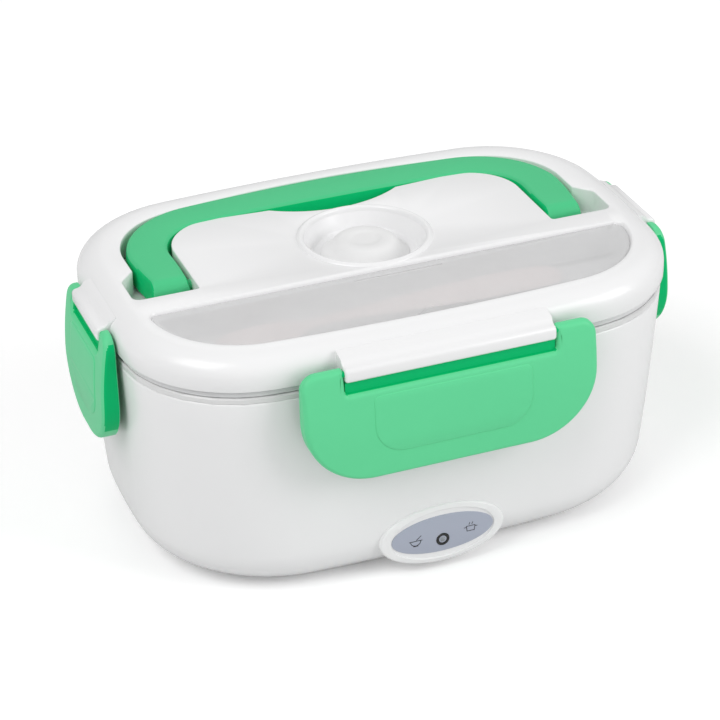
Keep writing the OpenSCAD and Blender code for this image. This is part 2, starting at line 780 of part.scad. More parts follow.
module lid_gasket() {
  low = tray_top + 0.2;
  top = skirt_z + 3.7;
  levels = [
    [rib_out - 0.5, low + 0.9], [rib_out - 1.2, low], [rib_out - 2.2, low], [4.9, low + 1.6],
    [wall + 1.6, low + 0.4], [wall + 0.7, low + 0.4], [wall + 0.2, low + 1.6], [wall + 0.2, top],
    [rib_out - 0.5, top]
  ];
  color("gainsboro")
    loft_band([for (l = levels) [oval(inset(lid_plan, l[0]), true), l[1]]]);
}

// ---- vent plug: a soft dome with a barbed stem ----
plug_low = well_floor + 0.2;
barb_top = well_floor - 2 - 4.8;
module vent_plug() {
  color([0.9, 0.9, 0.9, 0.7]) translate([0, well_y, 0]) rotate_extrude()
    polygon([
      [0, barb_top - 1.2], [stem_r - 0.4, barb_top - 1.2], [stem_r + 0.9, barb_top - 0.3],
      [stem_r + 0.9, barb_top], [stem_r, barb_top], [stem_r, 104.6], [8.6, 105.4], [9.6, 105.1],
      [12, 103.6], [14.4, plug_low + 1.2], [15.2, plug_low], [17.3, plug_low],
      [17.3, plug_low + 0.5], [15.6, plug_low + 1.5], [13, 104.9], [10.8, 106.4], [9.6, 107],
      [6.2, 107], [5.9, 106.6], [0, 106.6]
    ]);
}

// ---- spoon cover and spoon ----
notch_x = 6;
slot_ends = [-17, 19];
slot_w = 0.7;
slot_y = -27.5;
module spoon_cover() {
  top = height - cover_drop;
  color([0.85, 0.86, 0.87, 0.6]) difference() {
    loft([
      [pocket(1.6), cover_seat + 0.2],
      [pocket(1.3), top - 0.4],
      [pocket(1.6), top]
    ]);
    translate([notch_x, -pocket_plan[1] - 11, top - 1]) cylinder(r = 14, h = 3, $fn = 64);
    translate([slot_ends[0], slot_y - slot_w / 2, top - 0.5])
      cube([slot_ends[1] - slot_ends[0], slot_w, 1]);
  }
}

spoon_z = pocket_floor + 0.4;
bowl_x = -59;
spoon_y = -42;
bowl_l = 18;
bowl_w = 11;
bowl_depth = 4.2;
spoon_end = 62;
function spoon_half(x) =
  x < bowl_x + bowl_l * 0.72
  ? bowl_w * sqrt(max(0.02, 1 - pow((x - bowl_x) / bowl_l, 2)))
  : max(3.6, 6.6 - 3.4 * cos(130 * (x - bowl_x - bowl_l * 0.72) / 60))
    * (x > spoon_end - 6 ? sqrt(max(0.05, 1 - pow((x - spoon_end + 6) / 6, 2))) : 1);
module spoon() {
  xs = [-76.6, -75, -72, -67, -62, -57, -52, -47, -43, -38, -30, -18, 0, 20, 40, 52, 57, 60, 61.6];
  n = len(xs);
  function dish(x) = bowl_depth * max(0, 1 - pow((x - bowl_x) / (bowl_l - 0.8), 2));
  function lift(x) = x < -30 ? 5 + 1.8 * min(1, max(0, (x + 60) / 30)) : 6.8;
  // section: outer edge, underside, outer edge, top side
  rings = [
    for (x = xs)
      let (w = spoon_half(x), d = dish(x), z = spoon_z + lift(x))
        each [[x, spoon_y - w, z], [x, spoon_y - w * 0.6, z - 0.7 - d * 0.75], [x, spoon_y, z - 0.9 - d],
          [x, spoon_y + w * 0.6, z - 0.7 - d * 0.75], [x, spoon_y + w, z],
          [x, spoon_y + w * 0.6, z + 0.5 - d * 0.75], [x, spoon_y, z + 0.65 - d],
          [x, spoon_y - w * 0.6, z + 0.5 - d * 0.75]]
  ];
  color("mistyrose") polyhedron(
    rings,
    concat(
      side_faces(8, n, false),
      [[for (i = [0:7]) i]],
      [[for (i = [7:-1:0]) (n - 1) * 8 + i]]
    )
  );
}

// ---- handle ----
handle_round = 2.2;
// Points of the section, [across, up], counter-clockwise seen along the line
function section(w, h) =
  let (r = min(handle_round, h / 2 - 0.05), a = w / 2, b = h / 2)
  [
    for (q = [[1, 1, 0], [-1, 1, 90], [-1, -1, 180], [1, -1, 270]])
      for (k = [0:2])
        [q[0] * (a - r), q[1] * (b - r)] + r * dir(q[2] + 45 * k)
  ];
tip_steps = 4;
module handle() {
  r = handle_h / 2;
  tips = [
    for (k = [tip_steps:-1:1])
      let (a = 84 * k / tip_steps)
        [arm_x - 1, pivot_y - r * sin(a), 0, tip_w - (k == tip_steps ? 1.2 : 0), 2 * r * cos(a)]
  ];
  body = [for (s = half_line(pivot_y)) concat(s, [handle_h])];
  half = concat(tips, body);
  n = len(half);
  line = concat(half, [for (i = [n - 2:-1:0]) concat(flip(half[i]), [half[i][4]])]);
  rings = [
    for (s = line)
      for (q = section(s[3], s[4]))
        let (xy = [s[0], s[1]] + dir(s[2]) * q[0])
          [xy[0], xy[1], pivot_z - q[1]]
  ];
  m = len(line);
  color(accent) union() {
    polyhedron(
      rings,
      concat(
        side_faces(12, m, false),
        [[for (i = [0:11]) i]],
        [[for (i = [11:-1:0]) (m - 1) * 12 + i]]
      )
    );
    for (s = [-1, 1]) translate([s * (arm_x - 1 - tip_w / 2 - 0.6), pivot_y, pivot_z])
      rotate([0, 90, 0]) cylinder(r = 2, h = 7.4, center = true);
  }
}

// ---- clips ----
// A clip's face leans in above belly_z, along an arc
belly_z = 70;
belly_r = 150;
// Distance from a clip's axis to its back
clip_back = clip_t - axis_out;
// How far the end clips' faces stand out from their axis
end_out = 4.9;
ear_arc = 6;
ear_top = 2;
notch_drop = 7.7;
notch_r = 1.5;
stub_r = 1.25;
stub_len = 7;
hook_top = ledge_low - 0.3 - axis_z;
hook_t = 2.6;
panel_arc = 12;
panel_top = -10;
panel_low = 10;
// Outlines seen from the front, with the axis at the origin: each function gives the
// points of the right half from the bottom upwards, and d is an inset
corner_pts = 9;
ear_pts = 7;
notch_pts = 3;
function slab_half(w, low, arc, d) = [
  for (k = [0:corner_pts - 1])
    [w - arc, low + arc] + (arc - d) * dir(-90 + 90 * k / (corner_pts - 1)),
  [w - d, -notch_drop - d]
];
function ear_half(w, n, d) = [
  for (k = [0:3]) [w - ear_arc, ear_top - ear_arc] + (ear_arc - d) * dir(30 * k),
  for (k = [0:2]) [n + 1.2, ear_top - 1.2] + (1.2 - d) * dir(90 + 45 * k),
  for (k = [0:notch_pts - 1])
    [n - notch_r, notch_r - notch_drop] + (notch_r + d) * dir(-90 * k / (notch_pts - 1))
];
function panel_half(w, low) = [
  for (k = [0:6]) [w - panel_arc, low + panel_low + panel_arc] + panel_arc * dir(-90 + 15 * k),
  for (k = [0:2]) [w - 2, panel_top - 2] + 2 * dir(45 * k)
];
// Both halves of an outline, with its points on the bowed face
function bowed(half, depth) =
  let (m = len(half), both = concat(half, [for (i = [m - 1:-1:0]) [-half[i][0], half[i][1]]]))
  [for (q = both) [q[0], q[1], depth - pow(max(0, q[1] + axis_z - belly_z), 2) / (2 * belly_r)]];
function upright(half, depth) = [for (q = bowed(half, depth)) [q[0], q[1], depth]];
// Level strips across an outline, whose half has m points of all its points
function strips(m, all) = [for (i = [0:m - 2]) [i, i + 1, all - 2 - i, all - 1 - i]];
// The strips of the slab below the notch, and triangles over the two ears beside it
function clip_caps() =
  let (side = corner_pts, m = corner_pts + 1 + ear_pts + notch_pts, all = 2 * m, r = m - 1)
  concat(
    strips(side, all),
    [[side - 1, side, r, m, all - 1 - side, all - side]],
    [for (i = [side + 1:r - 1]) [side, i, i + 1]],
    [for (i = [m:all - 3 - side]) [all - 1 - side, i, i + 1]]
  );
module clip(w, n, low_z, arc, out, panel, hook_half, hook_reach) {
  low = low_z - axis_z;
  front_edge = [[0, out - 2], [0.5, out - 0.6], [1.9, out]];
  color(accent) union() {
    difference() {
      rotate([90, 0, 0]) loft(concat(
        [for (s = [[0.3, -clip_back], [0, 0.3 - clip_back]])
          [upright(concat(slab_half(w, low, arc, s[0]), ear_half(w, n, s[0])), s[1])]],
        [for (s = front_edge) [bowed(concat(slab_half(w, low, arc, s[0]), ear_half(w, n, s[0])), s[1])]]
      ), clip_caps());
      // hollow back, open towards the body
      rotate([90, 0, 0]) loft([
        [upright(slab_half(w, low, arc, wall), -clip_back - 1)],
        [bowed(slab_half(w, low, arc, wall), out - wall)]
      ], strips(corner_pts + 1, 2 * corner_pts + 2));
    }
    // slightly raised panel on the face
    rotate([90, 0, 0]) loft([
      [bowed(panel_half(panel, low), out - 0.5)],
      [bowed(panel_half(panel, low), out + 0.3)]
    ], strips(10, 20));
    // rail that hooks under the ledge of the body, and its ribs
    translate([-hook_half, -out + 1, hook_top - hook_t])
      cube([2 * hook_half, out - 1 + hook_reach, hook_t]);
    for (s = [-1, 0, 1]) translate([s * (hook_half - 1) - 0.8, -out + 1.5, low + 6])
      cube([1.6, out + clip_back - 2.1, hook_top - low - 7.4]);
    // stubs that turn in the lid's lip
    for (s = [-1, 1]) translate([s * (n - 1.4), 0, 0]) rotate([0, 90, 0])
      cylinder(r = stub_r, h = stub_len, center = true);
  }
}
module long_clip() {
  clip(58.1, lip_half_long + 0.3, front_clip_low, 27, axis_out, 31.3, 28, 4.9);
}
module short_clip() {
  clip(27, lip_half_short + 0.3, end_clip_low, 23, end_out, 17, 12, 3);
}
module front_clip() {
  translate([0, -axis_y, axis_z]) long_clip();
}
module left_clip() {
  rotate([0, 0, -90]) translate([0, -axis_x, axis_z]) short_clip();
}
module right_clip() {
  rotate([0, 0, 90]) translate([0, -axis_x, axis_z]) short_clip();
}

body_shell();
base_cover();
base_screws();
feet();
inner_liner();
heating_plate();
ptc_heater();
heater_film();
heater_clamp();
clamp_screws();
thermal_fuse();
power_inlet();
inlet_pins();
live_wire();
neutral_wire();
fuse_wire();
led_wires();
led_board();
indicator_led();
lamp_ring();
indicator_panel();
food_tray();
side_cup();
cup_lid();
lid();
lid_gasket();
vent_plug();
spoon_cover();
spoon();
handle();
front_clip();
left_clip();
right_clip();
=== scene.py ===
"""Electric lunch box: a white tub and lid with green clips, a folding handle and a spoon bay.

Every piece is modelled in millimetres on the drawing's own axes and handed over in metres:
+X along the long side, -Y to the front, +Z up, with the table at zero.
"""

import logging
import math
from dataclasses import dataclass
from enum import Enum
from typing import Callable, Iterable, Sequence

import bmesh
import bpy
from bmesh.types import BMesh, BMVert
from mathutils import Matrix, Vector


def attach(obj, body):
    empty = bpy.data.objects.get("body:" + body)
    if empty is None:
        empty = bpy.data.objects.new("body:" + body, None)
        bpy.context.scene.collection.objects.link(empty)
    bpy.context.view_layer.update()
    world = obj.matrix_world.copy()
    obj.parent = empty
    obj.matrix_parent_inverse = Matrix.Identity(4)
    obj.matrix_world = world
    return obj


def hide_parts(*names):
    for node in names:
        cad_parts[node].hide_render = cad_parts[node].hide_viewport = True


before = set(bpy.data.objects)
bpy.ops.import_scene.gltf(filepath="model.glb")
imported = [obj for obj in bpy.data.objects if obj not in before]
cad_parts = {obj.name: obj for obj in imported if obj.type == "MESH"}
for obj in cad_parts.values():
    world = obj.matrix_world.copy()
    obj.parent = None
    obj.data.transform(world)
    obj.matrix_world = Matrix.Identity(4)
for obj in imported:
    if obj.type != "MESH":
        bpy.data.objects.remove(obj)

log = logging.getLogger("lunch_box")

MM = 0.001
Ring = list[BMVert]
Point = tuple[float, float]


# ---------------------------------------------------------------- outlines


@dataclass(frozen=True)
class Line:
    """A straight stroke of the pen to a point."""

    to: Point


@dataclass(frozen=True)
class Arc:
    """A stroke of the pen round a centre, counter-clockwise where the turn is positive."""

    centre: Point
    turn: float
    steps: int


@dataclass(frozen=True)
class Outline:
    """A closed outline: where the pen starts, and its strokes back to there."""

    start: Point
    strokes: tuple[Line | Arc, ...]


def around(centre: Point, radius: float, degrees: float) -> Point:
    """The point at an angle on a circle."""
    a = math.radians(degrees)
    return (centre[0] + radius * math.cos(a), centre[1] + radius * math.sin(a))


def placed(at: Sequence[float], axis: str, degrees: float) -> Matrix:
    """The matrix that turns about an axis, and then moves to a place."""
    return Matrix.Translation(at) @ Matrix.Rotation(math.radians(degrees), 4, axis)


def circle(centre: Point, radius: float, steps: int = 96) -> Outline:
    """A full circle, drawn from its +X side."""
    return Outline((centre[0] + radius, centre[1]), (Arc(centre, 360.0, steps),))


def rounded_box(low: Point, high: Point, radius: float, steps: int = 6) -> Outline:
    """A rectangle with rounded corners, counter-clockwise from its lower right corner."""
    (x0, y0), (x1, y1) = low, high
    r = radius
    return Outline((x1 - r, y0), (
        Arc((x1 - r, y0 + r), 90.0, steps),
        Line((x1, y1 - r)),
        Arc((x1 - r, y1 - r), 90.0, steps),
        Line((x0 + r, y1)),
        Arc((x0 + r, y1 - r), 90.0, steps),
        Line((x0, y0 + r)),
        Arc((x0 + r, y0 + r), 90.0, steps),
        Line((x1 - r, y0)),
    ))


def bow(a: Point, b: Point, sag: float, steps: int) -> Arc:
    """The shallow arc from one point to another.

    Args:
        a: Where it starts.
        b: Where it ends.
        sag: How far its middle stands out to the right of the way from a to b.
        steps: How many edges it has.

    Returns:
        The arc, counter-clockwise where the sag is positive.
    """
    half = math.dist(a, b) / 2
    radius = (half * half + sag * sag) / (2 * abs(sag))
    way = (Vector(b) - Vector(a)).normalized()
    left = Vector((-way.y, way.x))
    side = 1.0 if sag > 0 else -1.0
    centre = (Vector(a) + Vector(b)) / 2 + left * side * (radius - abs(sag))
    turn = 2 * math.degrees(math.asin(half / radius)) * side
    return Arc((centre.x, centre.y), turn, steps)


@dataclass(frozen=True)
class OvalPlan:
    """An oval of eight arcs, tangent where they meet.

    Args:
        half_l: Half of its length along X.
        half_w: Half of its width along Y.
        corner_r: Radius of its corners.
        side_r: Radius of its long sides.
        end_r: Radius of its ends.
    """

    half_l: float
    half_w: float
    corner_r: float
    side_r: float
    end_r: float

    def inset(self, d: float) -> "OvalPlan":
        """The oval that lies d inside this one all the way round."""
        return OvalPlan(self.half_l - d, self.half_w - d, self.corner_r - d,
                        self.side_r - d, self.end_r - d)

    def towards(self, other: "OvalPlan", t: float) -> "OvalPlan":
        """The oval a part of the way from this one to another."""
        mix = lambda a, b: a + (b - a) * t
        return OvalPlan(mix(self.half_l, other.half_l), mix(self.half_w, other.half_w),
                        mix(self.corner_r, other.corner_r), mix(self.side_r, other.side_r),
                        mix(self.end_r, other.end_r))

    def corner(self) -> Point:
        """Centre of the corner arc in the first quarter."""
        side_c = Vector((0.0, self.half_w - self.side_r))
        end_c = Vector((self.half_l - self.end_r, 0.0))
        d1, d2 = self.side_r - self.corner_r, self.end_r - self.corner_r
        span = end_c - side_c
        length = span.length
        along = (d1 * d1 - d2 * d2 + length * length) / (2 * length)
        off = math.sqrt(d1 * d1 - along * along)
        u = span / length
        c = side_c + u * along + Vector((u.y, -u.x)) * off
        return (c.x, c.y)

    def angles(self) -> tuple[float, float]:
        """Angles where the end meets the corner, and the corner the long side."""
        cx, cy = self.corner()
        a1 = math.degrees(math.atan2(cy, cx - (self.half_l - self.end_r)))
        a2 = math.degrees(math.atan2(cy - (self.half_w - self.side_r), cx))
        return a1, a2

    def outline(self, detail: int = 14) -> Outline:
        """The oval as pen strokes, counter-clockwise from its +X end.

        Args:
            detail: Edges in each corner.

        Returns:
            The outline, with the same count of points for every oval.
        """
        cx, cy = self.corner()
        a1, a2 = self.angles()
        end_x = self.half_l - self.end_r
        side_y = self.half_w - self.side_r
        end, turn, side = a1, a2 - a1, 2 * (90 - a2)
        return Outline((self.half_l, 0.0), (
            Arc((end_x, 0.0), end, 3),
            Arc((cx, cy), turn, detail),
            Arc((0.0, side_y), side, 12),
            Arc((-cx, cy), turn, detail),
            Arc((-end_x, 0.0), 2 * end, 6),
            Arc((-cx, -cy), turn, detail),
            Arc((0.0, -side_y), side, 12),
            Arc((cx, -cy), turn, detail),
            Arc((end_x, 0.0), end, 3),
        ))


LID = OvalPlan(110.6, 74.6, 48.8, 882.0, 395.0)
RIM = LID.inset(1.0)
FOOT = OvalPlan(104.3, 69.7, 59.1, 882.0, 392.0)
SEAM = 89.0
TOP = 108.0


# ---------------------------------------------------------------- mesh work


class Former:
    """Works one piece's mesh in millimetres, from drawn outlines outwards."""

    def __init__(self) -> None:
        """Starts with an empty mesh."""
        self.bm: BMesh = bmesh.new()

    def draw(self, outline: Outline, height: float) -> Ring:
        """Draws a closed outline in a level plane.

        Args:
            outline: The pen strokes.
            height: The plane's height.

        Returns:
            The ring of vertices, in the order that they were drawn.
        """
        x, y = outline.start
        ring = [bmesh.ops.create_vert(self.bm, co=(x, y, height))["vert"][0]]
        for stroke in outline.strokes:
            if isinstance(stroke, Line):
                tip = bmesh.ops.extrude_vert_indiv(self.bm, verts=[ring[-1]])["verts"][0]
                tip.co = (*stroke.to, height)
                ring.append(tip)
                continue
            for _ in range(stroke.steps):
                spun = bmesh.ops.spin(
                    self.bm, geom=[ring[-1]], cent=(*stroke.centre, height), axis=(0, 0, 1),
                    angle=math.radians(stroke.turn / stroke.steps), steps=1)
                ring.append(next(g for g in spun["geom_last"] if isinstance(g, BMVert)))
        bmesh.ops.pointmerge(self.bm, verts=[ring[0], ring.pop()], merge_co=ring[0].co)
        return ring

    @staticmethod
    def edges(*rings: Ring) -> list[bmesh.types.BMEdge]:
        """The edges round some rings."""
        found = []
        for ring in rings:
            for a, b in zip(ring, ring[1:] + ring[:1]):
                found.append(next(e for e in a.link_edges if e.other_vert(a) is b))
        return found

    def bridge(self, low: Ring, high: Ring) -> Ring:
        """Joins two rings with a wall and returns the second."""
        bmesh.ops.bridge_loops(self.bm, edges=self.edges(low, high))
        return high

    @staticmethod
    def normals(ring: Ring) -> list[Vector]:
        """How far each vertex goes when the ring's edges all move outwards by one."""
        found = []
        for i, v in enumerate(ring):
            ahead = (ring[(i + 1) % len(ring)].co - v.co).normalized()
            behind = (v.co - ring[i - 1].co).normalized()
            a, b = Vector((ahead.y, -ahead.x, 0.0)), Vector((behind.y, -behind.x, 0.0))
            found.append((a + b) / (1 + max(a.dot(b), -0.5)))
        return found

    def shift(self, ring: Ring, grow: float = 0.0, rise: float = 0.0) -> Ring:
        """Moves a level counter-clockwise ring outwards along its own normals, and up."""
        for v, normal in zip(ring, self.normals(ring)):
            v.co = v.co + normal * grow + Vector((0.0, 0.0, rise))
        return ring

    def extrude(self, ring: Ring) -> Ring:
        """Extrudes a ring on the spot and returns the new one, in the same order."""
        new = bmesh.ops.extrude_edge_only(self.bm, edges=self.edges(ring))["geom"]
        fresh = {g for g in new if isinstance(g, BMVert)}
        return [next(e.other_vert(v) for e in v.link_edges if e.other_vert(v) in fresh)
                for v in ring]

    def push(self, ring: Ring, grow: float = 0.0, rise: float = 0.0) -> Ring:
        """Extrudes a level counter-clockwise ring.

        Args:
            ring: The ring.
            grow: How far it moves outwards; inwards where negative.
            rise: How far it moves up.

        Returns:
            The new ring, in the same order.
        """
        moves = self.normals(ring)
        ring = self.extrude(ring)
        for v, normal in zip(ring, moves):
            v.co = v.co + normal * grow + Vector((0.0, 0.0, rise))
        return ring

    def round_over(self, ring: Ring, grow: float, rise: float, steps: int = 5,
                   outward_first: bool = False) -> Ring:
        """Pushes a ring round a quarter of an ellipse.

        Args:
            ring: The ring that it starts from.
            grow: The whole way outwards; inwards where negative.
            rise: The whole way up; down where negative.
            steps: How many bands it takes.
            outward_first: Whether it leaves level, and ends upright.

        Returns:
            The last ring.
        """
        def place(t: float) -> tuple[float, float]:
            a = t * math.pi / 2
            level, upright = 1 - math.cos(a), math.sin(a)
            return (upright, level) if outward_first else (level, upright)

        last = place(0.0)
        for k in range(1, steps + 1):
            now = place(k / steps)
            ring = self.push(ring, (now[0] - last[0]) * grow, (now[1] - last[1]) * rise)
            last = now
        return ring

    def web(self, *rings: Ring) -> None:
        """Fills the plane between an outer ring and the rings inside it."""
        bmesh.ops.triangle_fill(self.bm, edges=self.edges(*rings), use_beauty=True)

    def cap(self, ring: Ring) -> None:
        """Closes a ring with a flat face."""
        bmesh.ops.contextual_create(self.bm, geom=list(ring))

    def block(self, size: Sequence[float], centre: Sequence[float], soft: float = 0.0,
              turn: float = 0.0) -> None:
        """Adds a block with softened edges.

        Args:
            size: Its length, width and height.
            centre: Its middle.
            soft: Radius of its edges.
            turn: Turn about Z, in degrees.
        """
        place = placed(centre, "Z", turn) @ Matrix.Diagonal((*size, 1.0))
        made = bmesh.ops.create_cube(self.bm, size=1.0, matrix=place)["verts"]
        if soft > 0:
            rims = list({e for v in made for e in v.link_edges})
            bmesh.ops.bevel(self.bm, geom=rims, offset=soft, affect="EDGES", segments=2,
                            profile=0.5, material=-1)

    def everything(self) -> list[bmesh.types.BMVert | bmesh.types.BMEdge | bmesh.types.BMFace]:
        """All that has been made so far, as the cutting operators take it."""
        return self.bm.verts[:] + self.bm.edges[:] + self.bm.faces[:]

    def pin(self, at: Sequence[float], radius: float, length: float, steps: int) -> None:
        """Adds a round pin along X about a place."""
        bmesh.ops.create_cone(self.bm, cap_ends=True, segments=steps, radius1=radius,
                              radius2=radius, depth=length, matrix=placed(at, "Y", 90))

    def turned(self, profile: Sequence[Point], centre: Sequence[float] = (0, 0, 0),
               steps: int = 72) -> None:
        """Adds a turned shape.

        Args:
            profile: Radius and height of its points; it is closed where both ends meet the axis,
                or its first point is also its last.
            centre: The middle of its axis at height zero.
            steps: Bands round it.
        """
        cx, cy, cz = centre
        start = bmesh.ops.create_vert(self.bm, co=(cx + profile[0][0], cy, cz + profile[0][1]))
        chain = [start["vert"][0]]
        for r, z in profile[1:]:
            tip = bmesh.ops.extrude_vert_indiv(self.bm, verts=[chain[-1]])["verts"][0]
            tip.co = (cx + r, cy, cz + z)
            chain.append(tip)
        rims = [e for v in chain for e in v.link_edges]
        bmesh.ops.spin(self.bm, geom=list(set(rims)) + chain, cent=(cx, cy, cz), axis=(0, 0, 1),
                       angle=math.tau, steps=steps, use_merge=True)
        bmesh.ops.remove_doubles(self.bm, verts=self.bm.verts[:], dist=1e-4)

    def stand(self, matrix: Matrix) -> "Former":
        """Moves all that has been made so far to its place."""
        bmesh.ops.transform(self.bm, matrix=matrix, verts=self.bm.verts[:])
        return self

    def object(self, name: str, smooth: float = 32.0, sheet: bool = False) -> bpy.types.Object:
        """Ends the work and makes the object, in metres.

        Args:
            name: The object's name.
            smooth: Edges that turn by more degrees than this stay crisp.
            sheet: Whether it is an open sheet, which is made to face up.

        Returns:
            The object, at the origin.
        """
        bmesh.ops.remove_doubles(self.bm, verts=self.bm.verts[:], dist=1e-4)
        bmesh.ops.recalc_face_normals(self.bm, faces=self.bm.faces[:])
        if sheet and sum(f.normal.z * f.calc_area() for f in self.bm.faces) < 0:
            bmesh.ops.reverse_faces(self.bm, faces=self.bm.faces[:])
        bmesh.ops.scale(self.bm, vec=(MM, MM, MM), verts=self.bm.verts[:])
        for face in self.bm.faces:
            face.smooth = True
        mesh = bpy.data.meshes.new(name)
        self.bm.to_mesh(mesh)
        self.bm.free()
        mesh.set_sharp_from_angle(angle=math.radians(smooth))
        piece = bpy.data.objects.new(name, mesh)
        bpy.context.scene.collection.objects.link(piece)
        return piece


# ---------------------------------------------------------------- shader work


class Value:
    """One shader value, which adds Math nodes when it is calculated with."""

    def __init__(self, graph: "Graph", socket: bpy.types.NodeSocket) -> None:
        """Wraps an output socket of a graph."""
        self.graph = graph
        self.socket = socket

    def _math(self, operation: str, a: "Value | float", b: "Value | float") -> "Value":
        """Adds one Math node."""
        return self.graph.add("ShaderNodeMath", {"operation": operation}, {0: a, 1: b})

    def __add__(self, other: "Value | float") -> "Value":
        """This plus the other."""
        return self._math("ADD", self, other)

    def __mul__(self, other: "Value | float") -> "Value":
        """This times the other."""
        return self._math("MULTIPLY", self, other)

    def __pow__(self, other: "Value | float") -> "Value":
        """This to a power."""
        return self._math("POWER", self, other)


class Graph:
    """The nodes of one material."""

    def __init__(self, name: str) -> None:
        """Starts a material with a Principled shader."""
        self.material = bpy.data.materials.new(name)
        self.material.use_nodes = True
        self.tree = self.material.node_tree
        self.tree.nodes.clear()
        self.shader = self.tree.nodes.new("ShaderNodeBsdfPrincipled")
        out = self.tree.nodes.new("ShaderNodeOutputMaterial")
        self.tree.links.new(self.shader.outputs["BSDF"], out.inputs["Surface"])

    def put(self, socket: bpy.types.NodeSocket, value: object) -> None:
        """Sets a socket, or links it where the value is one of the graph's own."""
        if isinstance(value, Value):
            self.tree.links.new(value.socket, socket)
        else:
            socket.default_value = value

    def add(self, kind: str, settings: dict[str, object], inputs: dict[str | int, object],
            output: str | int = 0) -> Value:
        """Adds a node.

        Args:
            kind: The node's type.
            settings: Its own properties.
            inputs: Values or links of its sockets, by name or index.
            output: Which of its outputs is returned.

        Returns:
            The output, wrapped.
        """
        node = self.tree.nodes.new(kind)
        for key, setting in settings.items():
            setattr(node, key, setting)
        for key, value in inputs.items():
            self.put(node.inputs[key], value)
        return Value(self, node.outputs[output])

    def set(self, **sockets: object) -> None:
        """Sets the shader's sockets, named with underscores for spaces."""
        for key, value in sockets.items():
            self.put(self.shader.inputs[key.replace("_", " ")], value)

    def place(self, stretch: Sequence[float] = (1, 1, 1)) -> Value:
        """The point on the piece, in metres, stretched along the axes."""
        where = self.add("ShaderNodeTexCoord", {}, {}, "Object")
        return self.add("ShaderNodeMapping", {"vector_type": "POINT"},
                        {"Vector": where, "Scale": tuple(stretch)})

    def noise(self, per_metre: float, detail: float = 3.0, roughness: float = 0.5,
              stretch: Sequence[float] = (1, 1, 1)) -> Value:
        """Smooth noise from 0 to 1 with so many cells in a metre."""
        return self.add("ShaderNodeTexNoise", {"noise_dimensions": "3D"},
                        {"Vector": self.place(stretch), "Scale": per_metre, "Detail": detail,
                         "Roughness": roughness}, "Fac")

    def between(self, mask: Value, low: float, high: float) -> Value:
        """A mask of 0 to 1 brought to another range."""
        return mask * (high - low) + low

    def tint(self, mask: Value, a: Sequence[float], b: Sequence[float]) -> Value:
        """A colour from a to b as the mask goes from 0 to 1."""
        return self.add("ShaderNodeMix", {"data_type": "RGBA"},
                        {"Factor": mask, "A": (*a, 1.0), "B": (*b, 1.0)}, "Result")

    def bump(self, height: Value, distance: float, strength: float = 1.0,
             normal: Value | None = None) -> Value:
        """A bump normal from a height of so many metres."""
        inputs: dict[str | int, object] = {
            "Height": height, "Distance": distance, "Strength": strength}
        if normal is not None:
            inputs["Normal"] = normal
        return self.add("ShaderNodeBump", {}, inputs, "Normal")


Colour = tuple[float, float, float]


@dataclass(frozen=True)
class Moulded:
    """Injection-moulded plastic: a soft sheen, faint flow marks and fine handling wear.

    Args:
        name: The finish's name.
        colour: Its colour in linear light.
        gloss: Its roughness where it is cleanest.
        worn: Its roughness where it has been handled.
        texture: Height of the fine mould texture, in metres.
        waves: Height of the slow waves of a moulded wall, in metres.
        drift: How much the colour varies.
        shine: Level of its mirror-like reflection; 0.5 is plain plastic.
    """

    name: str
    colour: Colour
    gloss: float = 0.22
    worn: float = 0.32
    texture: float = 0.000004
    waves: float = 0.00005
    drift: float = 0.02
    shine: float = 0.5

    def make(self) -> bpy.types.Material:
        """Builds the material."""
        g = Graph(self.name)
        flow = g.noise(14.0, 4.0, 0.55, (1.0, 1.0, 2.2))
        wear = g.noise(55.0, 5.0, 0.62)
        grain = g.noise(3200.0, 2.0)
        dark = tuple(c * (1 - self.drift) for c in self.colour)
        light = tuple(min(1.0, c * (1 + self.drift)) for c in self.colour)
        slow = g.bump(g.noise(9.0, 1.0), self.waves, 0.6)
        g.set(Base_Color=g.tint(flow, dark, light),
              Roughness=g.between(wear, self.gloss, self.worn),
              Normal=g.bump(grain, self.texture, 0.5, slow),
              IOR=1.5, Specular_IOR_Level=self.shine)
        return g.material


@dataclass(frozen=True)
class Milky:
    """Translucent plastic or silicone, frosted by its mould.

    Args:
        name: The finish's name.
        colour: Its colour in linear light.
        clear: Share of the light that passes through the body of the plastic.
        frost: Its roughness.
        grain: Height of the frosting, in metres.
        veil: How much it covers what lies behind it; 1 covers all.
    """

    name: str
    colour: Colour
    clear: float = 0.6
    frost: float = 0.35
    grain: float = 0.00001
    veil: float = 1.0

    def make(self) -> bpy.types.Material:
        """Builds the material."""
        g = Graph(self.name)
        cloud = g.noise(60.0, 4.0, 0.55)
        haze = tuple(c * 0.96 for c in self.colour)
        g.set(Base_Color=g.tint(cloud, haze, self.colour),
              Roughness=g.between(g.noise(120.0, 3.0), self.frost * 0.85, self.frost * 1.15),
              Normal=g.bump(g.noise(1500.0, 2.0), self.grain, 0.5),
              Transmission_Weight=self.clear, IOR=1.2)
        if self.veil < 1:
            g.set(Alpha=g.between(cloud, self.veil * 0.96, self.veil * 1.04))
        return g.material


@dataclass(frozen=True)
class Metal:
    """Bare metal with marks drawn one way.

    Args:
        name: The finish's name.
        colour: Its colour in linear light.
        rough: Its mean roughness.
        lay: Stretch of the marks along each axis; a small number draws them out.
    """

    name: str
    colour: Colour
    rough: float = 0.3
    lay: tuple[float, float, float] = (0.05, 1.0, 1.0)

    def make(self) -> bpy.types.Material:
        """Builds the material."""
        g = Graph(self.name)
        marks = g.noise(2600.0, 3.0, 0.6, self.lay)
        stain = g.noise(40.0, 3.0)
        g.set(Base_Color=g.tint(stain, tuple(c * 0.9 for c in self.colour), self.colour),
              Metallic=1.0,
              Roughness=g.between(marks, self.rough * 0.75, self.rough * 1.25),
              Normal=g.bump(marks, 0.000006, 0.6))
        return g.material


